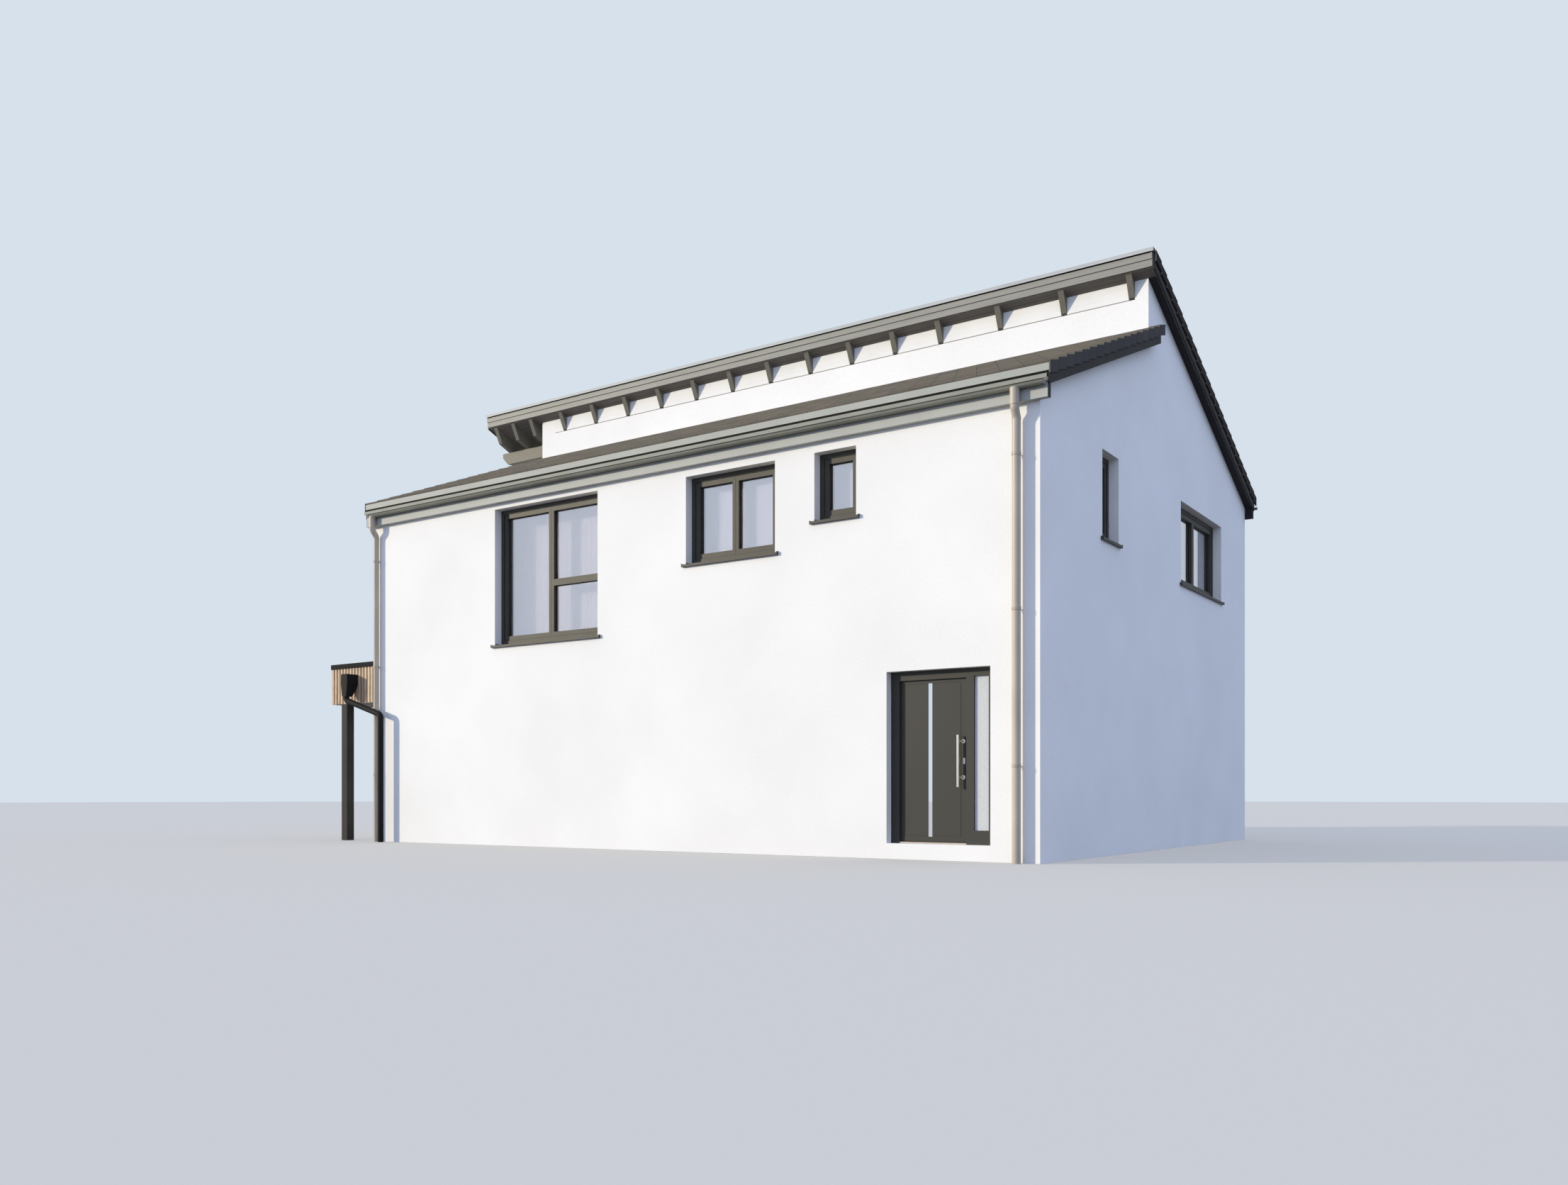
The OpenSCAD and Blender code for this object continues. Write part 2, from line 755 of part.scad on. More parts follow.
module window_frames() {
    color(frame_grey) for (win = windows) on_side(win[0]) translate([win[1], win[2], -reveal - frame_dep])
        linear_extrude(frame_dep) difference() {
            square([win[3], win[4]]);
            translate([frame_w, frame_w]) square([win[3] - 2 * frame_w, win[4] - 2 * frame_w]);
        }
}

// The sashes of one window, each as [left, right, left stile, right stile, crossbar]
function sash_run(win) = win[3] - 2 * frame_w - 2 * sash_gap;
function sashes_of(win) =
    let (n = win[5], each_w = (sash_run(win) - (n - 1) * sash_gap) / n, left = frame_w + sash_gap)
    [for (i = [0 : n - 1]) [
        left + i * (each_w + sash_gap), left + i * (each_w + sash_gap) + each_w,
        i == 0 ? sash_w : meet_w, i == n - 1 ? sash_w : meet_w,
        i == n - 1 ? win[6] : 0
    ]];

// The glass areas of one sash, each as [left, bottom, width, height]
function panes_of(win, sash) =
    let (x0 = sash[0] + sash[2], x1 = sash[1] - sash[3], y0 = frame_w + sash_gap + sash_w,
        y1 = win[4] - frame_w - sash_gap - sash_w, bar = sash[4])
    bar == 0 ? [[x0, y0, x1 - x0, y1 - y0]]
        : [[x0, y0, x1 - x0, bar - bar_w / 2 - y0], [x0, bar + bar_w / 2, x1 - x0, y1 - bar - bar_w / 2]];

module window_sashes() {
    color(frame_grey) for (win = windows) on_side(win[0]) translate([win[1], win[2], 0])
        for (sash = sashes_of(win)) difference() {
            y0 = frame_w + sash_gap;
            sash_h = win[4] - 2 * y0;
            x0 = sash[0] - (sash[2] == sash_w ? flange_w : 0);
            x1 = sash[1] + (sash[3] == sash_w ? flange_w : 0);
            union() {
                translate([sash[0], y0, -reveal - frame_dep])
                    cube([sash[1] - sash[0], sash_h, frame_dep - sash_back]);
                translate([x0, y0 - flange_w, -reveal - frame_dep - flange_w])
                    cube([x1 - x0, sash_h + 2 * flange_w, flange_w]);
            }
            for (pane = panes_of(win, sash)) translate([pane[0], pane[1], -reveal - frame_dep * 2])
                cube([pane[2], pane[3], frame_dep * 2]);
        }
}

module window_glass() {
    color([0.7, 0.75, 0.85, 0.5]) for (win = windows) on_side(win[0]) translate([win[1], win[2], 0])
        for (sash = sashes_of(win)) for (pane = panes_of(win, sash))
            translate([pane[0], pane[1], -reveal - glass_back - glass_t]) cube([pane[2], pane[3], glass_t]);
}

module window_sills() {
    face_y = -sill_fall * reveal / (reveal + sill_reach);
    color(dark) for (win = windows) on_side(win[0]) translate([win[1], win[2], 0]) {
        rotate([0, 90, 0]) linear_extrude(win[3])
            polygon([[reveal, 0], [0, face_y], [0, -sill_t], [reveal, -sill_t]]);
        translate([-sill_side, 0, 0]) rotate([0, 90, 0]) linear_extrude(win[3] + 2 * sill_side)
            polygon([
                [0, face_y], [-sill_reach, -sill_fall],
                [-sill_reach, -sill_fall - sill_nose], [0, -sill_fall - sill_nose]
            ]);
    }
}

// Front door, drawn seen from outside from the doorway's lower left corner, z outwards
module at_door() {
    translate([door_x0, -half_dep, plinth_h]) rotate([90, 0, 0]) children();
}

lip = 15;
lip_t = 30;
leaf_front = -door_reveal - lip_t - leaf_gap;
frame_back = leaf_front - leaf_t;
frame_run = -frame_back - door_reveal;
hinge_x = jamb_w - lip;
hinge_z = frame_back - 15;
lock_gap = leaf_gap + 4;
post_x = door_w - end_jamb_w - side_light_w - post_w;
leaf_x0 = hinge_x + leaf_gap;
leaf_x1 = post_x + lip - lock_gap;
threshold_h = 20;
leaf_y0 = threshold_h + leaf_gap + 3;
jamb_h = door_h - head_h;
leaf_y1 = jamb_h - leaf_gap - 3;
side_rail_h = 180;

module door_jambs() {
    color(frame_grey) at_door() translate([0, 0, frame_back]) {
        translate([0, jamb_h, 0]) rotate([90, 0, 0]) linear_extrude(jamb_h) polygon([
            [0, 0], [jamb_w - lip, 0], [jamb_w - lip, frame_run - lip_t],
            [jamb_w, frame_run - lip_t], [jamb_w, frame_run], [0, frame_run]
        ]);
        translate([post_x, jamb_h, 0]) rotate([90, 0, 0]) linear_extrude(jamb_h) polygon([
            [lip, 0], [post_w, 0], [post_w, frame_run], [0, frame_run],
            [0, frame_run - lip_t], [lip, frame_run - lip_t]
        ]);
        translate([door_w - end_jamb_w, 0, 0]) cube([end_jamb_w, jamb_h, frame_run]);
    }
}

module door_rails() {
    color(frame_grey) at_door() {
        translate([0, jamb_h, frame_back]) cube([door_w, head_h, frame_run]);
        translate([jamb_w, jamb_h - lip, -door_reveal - lip_t])
            cube([post_x - jamb_w, lip + bit, lip_t]);
        translate([post_x + post_w, 0, frame_back]) cube([side_light_w, side_rail_h, frame_run]);
    }
}

module door_threshold() {
    color(steel) at_door() translate([jamb_w, 0, frame_back])
        cube([post_x - jamb_w, threshold_h, frame_run]);
}

module side_light_glass() {
    color([0.85, 0.88, 0.9, 0.6]) at_door()
        translate([post_x + post_w, side_rail_h, -door_reveal - lip_t - glass_t])
            cube([side_light_w, jamb_h - side_rail_h, glass_t]);
}

// The leaf has a glass strip and a groove round its panel
strip_x = 515;
strip_y0 = 90;
strip_y1 = 2040;
rim = 70;
lock_rim = 90;
groove_w = 6;
groove_dep = 4;

module leaf_rect(edge) {
    x0 = leaf_x0 + rim + edge;
    x1 = leaf_x1 - lock_rim - edge;
    y0 = leaf_y0 + rim + edge;
    y1 = leaf_y1 - rim + 18 - edge;
    translate([x0, y0]) square([x1 - x0, y1 - y0]);
}

module door_leaf() {
    color(frame_grey) at_door() difference() {
        translate([leaf_x0, leaf_y0, frame_back]) cube([leaf_x1 - leaf_x0, leaf_y1 - leaf_y0, leaf_t]);
        translate([strip_x, strip_y0, frame_back - bit])
            cube([strip_w, strip_y1 - strip_y0, leaf_t + 2 * bit]);
        translate([0, 0, leaf_front - groove_dep]) linear_extrude(groove_dep + bit) difference() {
            leaf_rect(0);
            leaf_rect(groove_w);
        }
    }
}

module door_glass_strip() {
    color([0.7, 0.75, 0.85, 0.5]) at_door() translate([strip_x, strip_y0, leaf_front - 10 - glass_t])
        cube([strip_w, strip_y1 - strip_y0, glass_t]);
}

// A long bar on two slanting arms with round roses
bar_x = 970;
bar_r = 20;
bar_y = [720, 1372];
arm_y = [841, 1293];
arm_r = 9;
arm_out = 62;
arm_side = 45;
rose_r = 28;
rose_t = 8;

module door_pull_handle() {
    color(steel) at_door() {
        translate([bar_x, bar_y[0], leaf_front + arm_out]) rotate([-90, 0, 0])
            cylinder(r = bar_r, h = bar_y[1] - bar_y[0]);
        for (y = arm_y) translate([bar_x + arm_side, y, leaf_front]) {
            cylinder(r = rose_r, h = rose_t);
            rotate([0, -atan2(arm_side, arm_out), 0]) translate([0, 0, rose_t])
                cylinder(r = arm_r, h = norm([arm_side, arm_out]) - rose_t);
        }
    }
}

module door_lock_plate() {
    color(steel) at_door() translate([1010, 1008, leaf_front]) cube([30, 75, 6]);
}

// Three lift-off hinges inside: pin and lower half on the jamb, upper half on the leaf
hinge_y = [250, 1050, 1850];
barrel_r = 11;
pin_r = 6;
pin_play = 0.05;
half_h = 40;
plate_w = 50;
plate_t = 6;
knuckle_gap = 0.5;

module door_hinge_pins() {
    color(steel) at_door() for (y = hinge_y) {
        translate([hinge_x, y - half_h, hinge_z]) rotate([-90, 0, 0]) {
            cylinder(r = barrel_r, h = half_h);
            cylinder(r = pin_r, h = half_h * 2 + 3);
        }
        translate([hinge_x - plate_w, y - half_h, frame_back - plate_t]) cube([plate_w, half_h, plate_t]);
    }
}

module door_hinge_knuckles() {
    color(steel) at_door() for (y = hinge_y) difference() {
        union() {
            translate([hinge_x, y + knuckle_gap, hinge_z]) rotate([-90, 0, 0])
                cylinder(r = barrel_r, h = half_h - knuckle_gap);
            translate([hinge_x, y + knuckle_gap, frame_back - plate_t])
                cube([plate_w, half_h - knuckle_gap, plate_t]);
        }
        translate([hinge_x, y - bit, hinge_z]) rotate([-90, 0, 0])
            cylinder(r = pin_r + pin_play, h = half_h + 2 * bit);
    }
}

// Side canopy at the left front corner
canopy_left_x = -half_len - canopy_out;
slat_t = 25;
beam_t = 75;
soffit_t = 20;
cap_over = 12;
cap_z = canopy_under_z + slat_h;

module canopy_plan(edge) {
    translate([canopy_left_x + edge, -half_dep + edge])
        square([canopy_out - edge, canopy_dep - 2 * edge]);
}

module canopy_roof() {
    color(dark) translate([0, 0, cap_z]) linear_extrude(canopy_cap_h) canopy_plan(-cap_over);
}

module canopy_soffit() {
    color(dark_wood) translate([0, 0, canopy_under_z]) linear_extrude(soffit_t) canopy_plan(slat_t);
}

module canopy_frame() {
    inset = slat_t + beam_t;
    color(dark_wood) difference() {
        translate([0, 0, canopy_under_z + soffit_t]) linear_extrude(slat_h - soffit_t) canopy_plan(slat_t);
        translate([canopy_left_x + inset, -half_dep + inset, canopy_under_z])
            cube([canopy_out - inset - beam_t, canopy_dep - 2 * inset, slat_h + canopy_cap_h]);
    }
}

module canopy_slats() {
    run_front = canopy_out - slat_w;
    n_front = round(run_front / slat_pitch_wish);
    run_side = canopy_dep - slat_w;
    n_side = round(run_side / slat_pitch_wish);
    rear_y = -half_dep + canopy_dep - slat_t;
    color("burlywood") {
        for (i = [0 : n_front]) for (y = [-half_dep, rear_y])
            translate([canopy_left_x + i * run_front / n_front, y, canopy_under_z])
                cube([slat_w, slat_t, slat_h]);
        for (i = [1 : n_side - 1])
            translate([canopy_left_x, -half_dep + i * run_side / n_side, canopy_under_z])
                cube([slat_t, slat_w, slat_h]);
    }
}

post_left_x = -half_len - 960;

module canopy_posts() {
    color(dark) for (y = [-half_dep, -half_dep + canopy_dep - canopy_post])
        translate([post_left_x, y, 0]) cube([canopy_post, canopy_post, canopy_under_z]);
}

// A tapered hopper on the fascia, open at the top, feeds the canopy's own pipe
head_w = 172;
head_dep = 224;
head_h_box = 190;
head_h_all = 395;
head_foot_w = 112;
head_foot_z = canopy_under_z + 112;
head_x = -half_len - 587;
head_y = -half_dep - head_dep / 2;
canopy_pipe_r = 50;
// The pipe passes in front of the left downpipe
canopy_pipe_y = -half_dep - 174;
spout_bend_z = canopy_under_z + 45;
low_pipe_x = -half_len + 363;
low_bend_z = canopy_under_z - 245;

module head_face(w, foot_w, top) {
    taper_z = head_h_all - head_h_box;
    polygon([
        [-foot_w / 2, 0], [foot_w / 2, 0], [w / 2, taper_z], [w / 2, top], [-w / 2, top], [-w / 2, taper_z]
    ]);
}

module canopy_rainwater_head() {
    wall = 5;
    color("black") translate([head_x, head_y, head_foot_z]) difference() {
        intersection() {
            translate([0, head_dep / 2, 0]) rotate([90, 0, 0]) linear_extrude(head_dep)
                head_face(head_w, head_foot_w, head_h_all);
            translate([-head_w / 2, 0, 0]) rotate([90, 0, 90]) linear_extrude(head_w) polygon([
                [head_dep / 2 - 90, 0], [head_dep / 2, head_h_all - head_h_box], [head_dep / 2, head_h_all],
                [-head_dep / 2, head_h_all], [-head_dep / 2, 0]
            ]);
        }
        translate([-head_w / 2 + wall, -head_dep / 2 + wall, head_h_all - head_h_box + 10])
            cube([head_w - 2 * wall, head_dep - 2 * wall, head_h_box]);
    }
}

module canopy_pipe() {
    color("black") translate([0, canopy_pipe_y, 0]) pipe_run([
        [head_x, head_foot_z], [head_x, spout_bend_z], [low_pipe_x, low_bend_z], [low_pipe_x, 0]
    ], canopy_pipe_r, 80);
}

ground_slab();
upper_floor();
doorway_base();
front_wall_left();
front_wall_right();
front_wall_over_door();
rear_wall();
right_gable_wall();
left_gable_wall();
high_wall();
rafter_infill();
rafters();
purlins();
front_roof_deck();
front_roof_tiles();
rear_roof_deck();
rear_roof_tiles();
verge_flaps();
verge_boards();
ridge_fascia();
ridge_flashing();
eave_boxes();
eave_trims();
gutters();
downpipes();
downpipe_clips();
window_frames();
window_sashes();
window_glass();
window_sills();
door_jambs();
door_rails();
door_threshold();
side_light_glass();
door_hinge_pins();
door_leaf();
door_glass_strip();
door_pull_handle();
door_lock_plate();
door_hinge_knuckles();
canopy_frame();
canopy_roof();
canopy_soffit();
canopy_slats();
canopy_posts();
canopy_rainwater_head();
canopy_pipe();
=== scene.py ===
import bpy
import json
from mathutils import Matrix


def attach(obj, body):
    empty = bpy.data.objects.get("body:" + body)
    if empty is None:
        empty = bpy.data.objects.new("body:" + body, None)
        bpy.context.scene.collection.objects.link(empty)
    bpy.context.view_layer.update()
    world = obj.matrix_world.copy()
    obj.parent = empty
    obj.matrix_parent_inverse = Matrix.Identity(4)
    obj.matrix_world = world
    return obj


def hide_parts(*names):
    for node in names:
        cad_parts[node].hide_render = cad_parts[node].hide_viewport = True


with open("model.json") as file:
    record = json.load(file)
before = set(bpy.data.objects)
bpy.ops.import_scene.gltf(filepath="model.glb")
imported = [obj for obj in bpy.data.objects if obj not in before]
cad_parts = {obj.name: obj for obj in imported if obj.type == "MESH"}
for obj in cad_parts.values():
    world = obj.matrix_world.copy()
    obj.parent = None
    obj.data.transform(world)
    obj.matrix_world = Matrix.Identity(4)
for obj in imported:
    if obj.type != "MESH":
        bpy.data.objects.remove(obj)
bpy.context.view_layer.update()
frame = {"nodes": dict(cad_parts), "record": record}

import json
import math
import random

import bmesh
import bpy
from mathutils import Matrix, Vector

bl_info = {
    "name": "Detached house finishes",
    "version": (1, 0, 0),
    "blender": (4, 2, 0),
    "location": "View3D > Sidebar > House",
    "description": "Roof tiles, boards, curtains, trims and finishes of a detached house, with its stage",
    "category": "Add Mesh",
}

# Places that the solid model gives, in metres: x to the right, y backwards, z up
HALF_LEN = 6.2
HALF_DEP = 4.79
WALL_T = 0.365
FLOOR_TOP = 3.15
PITCH = math.radians(22.5)
RISE = math.tan(PITCH)
FRONT_LINE_Z = 5.983
REAR_LINE_Z = 6.341
HIGH_WALL_D = 4.04
TILES_OUT = 0.1
REAR_FOOT_D = 9.74
FLAP_X = 6.35
REAR_LEFT_X = -7.605
FLAP_T = 0.02
FLAP_H = 0.155
TILE_BUILD = 0.049
DECK_T = 0.217
DECK_START_D = 3.865
RAFTER_H = 0.27
EAVE_OVER = 0.083
COURSES_FRONT = 16
COURSES_REAR = 22
GAUGE = (HIGH_WALL_D + TILES_OUT) / COURSES_FRONT / math.cos(PITCH)
REVEAL = 0.14
FRAME_W, FRAME_DEP, SASH_W, MEET_W, SASH_GAP = 0.065, 0.08, 0.07, 0.053, 0.004
GLASS_BACK, GLASS_T, BAR_W = 0.06, 0.024, 0.103
SILL_REACH, SILL_SIDE, CAP_T = 0.04, 0.054, 0.003
DOOR_X, DOOR_SILL_Z = 4.105, 0.2
FRAME_BACK = -0.223
GUTTER_R, GUTTER_DROP, GUTTER_OUT = 0.06, 0.268, 0.136
GUTTER_RIGHT_X, GUTTER_LEFT_X, REAR_GUTTER_LEFT_X = 6.37, -6.22, -7.605
# The eave boxes' ends across, and their undersides below the roof line at the wall face
BOX_END_X, BOX_LOW_Z = 6.33, -0.463
REAR_VENT_X, REAR_STRAP_X = -7.585, -7.58

# Windows: side, left edge seen from outside, sill height, width, height, sashes, crossbar height
WINDOWS = [
    ("front", -3.168, 3.25, 2.25, 2.185, 2, 0.917),
    ("front", 0.798, 4.146, 1.56, 1.244, 2, 0),
    ("front", 2.999, 4.49, 0.65, 0.9, 1, 0),
    ("right", -2.677, 4.265, 0.64, 1.17, 1, 0),
    ("right", 0.841, 4.15, 2.34, 1.285, 2, 0),
    ("left", 2.037, 4.265, 0.64, 1.17, 1, 0),
    ("left", -3.181, 4.15, 2.34, 1.285, 2, 0),
    ("rear", -3.168, 3.25, 2.25, 2.185, 2, 0.917),
    ("rear", 0.798, 4.146, 1.56, 1.244, 2, 0),
    ("rear", 2.999, 4.49, 0.65, 0.9, 1, 0),
    ("rear", -4.6, 0.3, 2.25, 2.185, 2, 0.917),
    ("rear", 1.4, 0.3, 2.25, 2.185, 2, 0.917),
]

TURNS = {"front": 0, "right": 90, "rear": 180, "left": 270}


def linear(code):
    """Turns a colour written as sRGB hex into the linear numbers that a shader takes."""
    parts = [int(code[i : i + 2], 16) / 255 for i in (1, 3, 5)]
    return tuple(c / 12.92 if c <= 0.04045 else ((c + 0.055) / 1.055) ** 2.4 for c in parts) + (1.0,)


# Materials


def add(tree, kind, inputs=None, **settings):
    """Adds a shader node with its settings, and its inputs as values or as sockets to link."""
    made = tree.nodes.new("ShaderNode" + kind)
    for name, value in settings.items():
        setattr(made, name, value)
    for name, value in (inputs or {}).items():
        if isinstance(value, bpy.types.NodeSocket):
            tree.links.new(value, made.inputs[name])
        else:
            made.inputs[name].default_value = value
    return made


def blank(name):
    """A new material with an empty node tree."""
    material = bpy.data.materials.new(name)
    material.use_nodes = True
    tree = material.node_tree
    tree.nodes.clear()
    return material, tree


def close(tree, shader):
    add(tree, "OutputMaterial", {"Surface": shader})


def place_in(tree):
    """The place of each point in metres."""
    return add(tree, "TexCoord").outputs["Object"]


def stretched(tree, scale):
    """The place of each point, drawn out along the axis whose scale is low."""
    return add(tree, "Mapping", {"Vector": place_in(tree), "Scale": scale}).outputs[0]


def noise(tree, place, scale, detail, roughness=0.5, distortion=0.0):
    """A cloudy pattern from 0 to 1, finer as its scale is higher."""
    inputs = {"Vector": place, "Scale": scale, "Detail": detail, "Roughness": roughness}
    return add(tree, "TexNoise", {**inputs, "Distortion": distortion}).outputs["Fac"]


def bump(tree, height, strength, distance):
    """The normal of a surface that a pattern raises."""
    inputs = {"Height": height, "Strength": strength, "Distance": distance}
    return add(tree, "Bump", inputs).outputs["Normal"]


def spread(tree, factor, low, high):
    """A number that goes from low to high as factor does."""
    return add(tree, "MapRange", {"Value": factor, "To Min": low, "To Max": high}).outputs[0]


def blend(tree, factor, first, second):
    """Two shaders mixed by a factor."""
    return add(tree, "MixShader", {0: factor, 1: first.outputs[0], 2: second.outputs[0]}).outputs[0]


def either(tree, first, second):
    """1 for a ray of one kind or the other."""
    return add(tree, "Math", {0: first, 1: second}, operation="MAXIMUM").outputs[0]


def background_rays(tree):
    """1 for the rays that show the background: from the camera, off a gloss or through glass."""
    path = add(tree, "LightPath").outputs
    seen = either(tree, path["Is Camera Ray"], path["Is Glossy Ray"])
    return either(tree, seen, path["Is Transmission Ray"])


def surface(tree, colour, roughness, normal=None, shine=0.5, more=None):
    """Ends a material with one principled shader."""
    inputs = {"Base Color": colour, "Roughness": roughness, "Specular IOR Level": shine, **(more or {})}
    if normal is not None:
        inputs["Normal"] = normal
    close(tree, add(tree, "BsdfPrincipled", inputs).outputs["BSDF"])


def ramp(tree, factor, low, high, at=(0.35, 0.65)):
    """A colour that goes from low to high as factor does."""
    made = add(tree, "ValToRGB", {"Fac": factor})
    for element, place, code in zip(made.color_ramp.elements, at, (low, high)):
        element.position = place
        element.color = linear(code)
    return made.outputs["Color"]


def mineral_render():
    # White mineral render, floated with a fine grain: matt, with grain shadows from its bump and also painted
    # into its colour, and faint trowel clouds
    material, tree = blank("white_mineral_render")
    place = place_in(tree)
    # The real grain is 2 mm, and is drawn at about 25 mm so that it shows
    grain = noise(tree, place, 38.0, 5.0, 0.65)
    cloud = noise(tree, place, 0.7, 3.0)
    # The grain darkens the colour where it is low: painted shade of the grain's pits
    clouds_and_grain_shade = add(tree, "Mix", {0: 0.5, 2: cloud, 3: grain}).outputs[0]
    colour = ramp(tree, clouds_and_grain_shade, "#F1F0ED", "#FBFAF8")
    surface(tree, colour, 0.92, bump(tree, grain, 0.35, 0.004), 0.3)
    return material


def concrete():
    # Smooth cast concrete: grey, slightly blotchy
    material, tree = blank("cast_concrete")
    blotch = noise(tree, place_in(tree), 3.0, 6.0, 0.6)
    surface(tree, ramp(tree, blotch, "#96948F", "#ABA9A4"), 0.85)
    return material


def concrete_tile(name, low, high):
    # Flat concrete roof tile with a matt charcoal coating: each tile a little lighter or darker, sandy
    material, tree = blank(name)
    place = place_in(tree)
    shade = add(tree, "Attribute", attribute_name="tile_shade")
    grit = noise(tree, place, 60.0, 4.0, 0.7)
    weather = noise(tree, place, 1.3, 4.0)
    mixed = add(tree, "Math", {0: weather, 1: shade.outputs["Fac"]}, operation="ADD")
    mixed = add(tree, "Math", {0: mixed.outputs[0], 1: 0.5}, operation="MULTIPLY")
    colour = ramp(tree, mixed.outputs[0], low, high, (0.2, 0.8))
    surface(tree, colour, 0.88, bump(tree, grit, 0.4, 0.003), 0.2)
    return material


def painted_timber(name, low, high, stretch, roughness=0.55):
    # Planed softwood under an opaque paint: flat colour with the grain just felt as long fine ridges
    material, tree = blank(name)
    grain = noise(tree, stretched(tree, stretch), 30.0, 5.0, distortion=0.4)
    colour = ramp(tree, grain, low, high, (0.3, 0.7))
    surface(tree, colour, roughness, bump(tree, grain, 0.25, 0.002), 0.25)
    return material


def larch_slats():
    # Oiled larch battens, set upright: warm tan, each batten its own tone, with dark streaks of grain
    material, tree = blank("oiled_larch")
    tone = noise(tree, stretched(tree, (12.0, 12.0, 0.02)), 1.0, 0.0)
    grain = noise(tree, stretched(tree, (1.0, 1.0, 0.06)), 150.0, 6.0, distortion=0.6)
    tones = ramp(tree, tone, "#BFA283", "#DAC5AB", (0.3, 0.7))
    streaks = ramp(tree, grain, "#B59C86", "#FFFFFF", (0.35, 0.6))
    colour = add(tree, "Mix", {0: 0.7, 6: tones, 7: streaks}, data_type="RGBA", blend_type="MULTIPLY")
    surface(tree, colour.outputs[2], 0.6, bump(tree, grain, 0.3, 0.002))
    return material


def coated(name, low, high, roughness, cloud=2.0, shine=0.5):
    # Factory coating on sheet or profile: even colour, a slight cloud in tone and in gloss
    material, tree = blank(name)
    clouds = noise(tree, place_in(tree), cloud, 4.0)
    gloss = spread(tree, clouds, roughness - 0.05, roughness + 0.05)
    surface(tree, ramp(tree, clouds, low, high), gloss, shine=shine)
    return material


def brushed_steel():
    # Stainless steel, brushed along its length: grey metal with stretched, fine lines in its gloss
    material, tree = blank("brushed_stainless_steel")
    lines = noise(tree, stretched(tree, (1.0, 1.0, 0.05)), 900.0, 3.0)
    surface(tree, linear("#C9C8C6"), spread(tree, lines, 0.22, 0.38), more={"Metallic": 1.0})
    return material


def satin_glass():
    # Acid-etched glass: milky, with fine crystals of 1 mm that are drawn at 8 mm so that they show
    material, tree = blank("etched_glass")
    cells = add(tree, "TexVoronoi", {"Vector": place_in(tree), "Scale": 120.0}).outputs["Distance"]
    colour = ramp(tree, cells, "#CBCDD2", "#E6E8EB", (0.1, 0.9))
    surface(tree, colour, 0.22, bump(tree, cells, 0.2, 0.001), more={"Transmission Weight": 0.12})
    return material


def glass(name, tint, roughness, mirror):
    # Sun-protection glass: a thin metal coating throws part of the sky back, and lamps reach what is behind
    material, tree = blank(name)
    inputs = {"Base Color": linear(tint), "Roughness": roughness, "Metallic": mirror}
    pane = add(tree, "BsdfPrincipled", {**inputs, "Transmission Weight": 1.0})
    clear = add(tree, "BsdfTransparent", {"Color": linear(tint)})
    close(tree, blend(tree, add(tree, "LightPath").outputs["Is Shadow Ray"], pane, clear))
    return material


def voile():
    # Polyester voile curtain: thin, nearly white with a cool cast, woven so finely that only folds show
    material, tree = blank("polyester_voile")
    weave = add(tree, "TexCoord").outputs["UV"]
    threads = add(tree, "TexWave", {"Vector": weave, "Scale": 60.0, "Distortion": 0.3}, bands_direction="X")
    colour = ramp(tree, threads.outputs["Fac"], "#DFDEE8", "#E8E7F0", (0.0, 1.0))
    cloth = add(tree, "BsdfPrincipled", {"Base Color": colour, "Roughness": 0.9, "Sheen Weight": 0.2})
    through = add(tree, "BsdfTranslucent", {"Color": linear("#E8E7F0")})
    close(tree, blend(tree, 0.3, cloth, through))
    return material


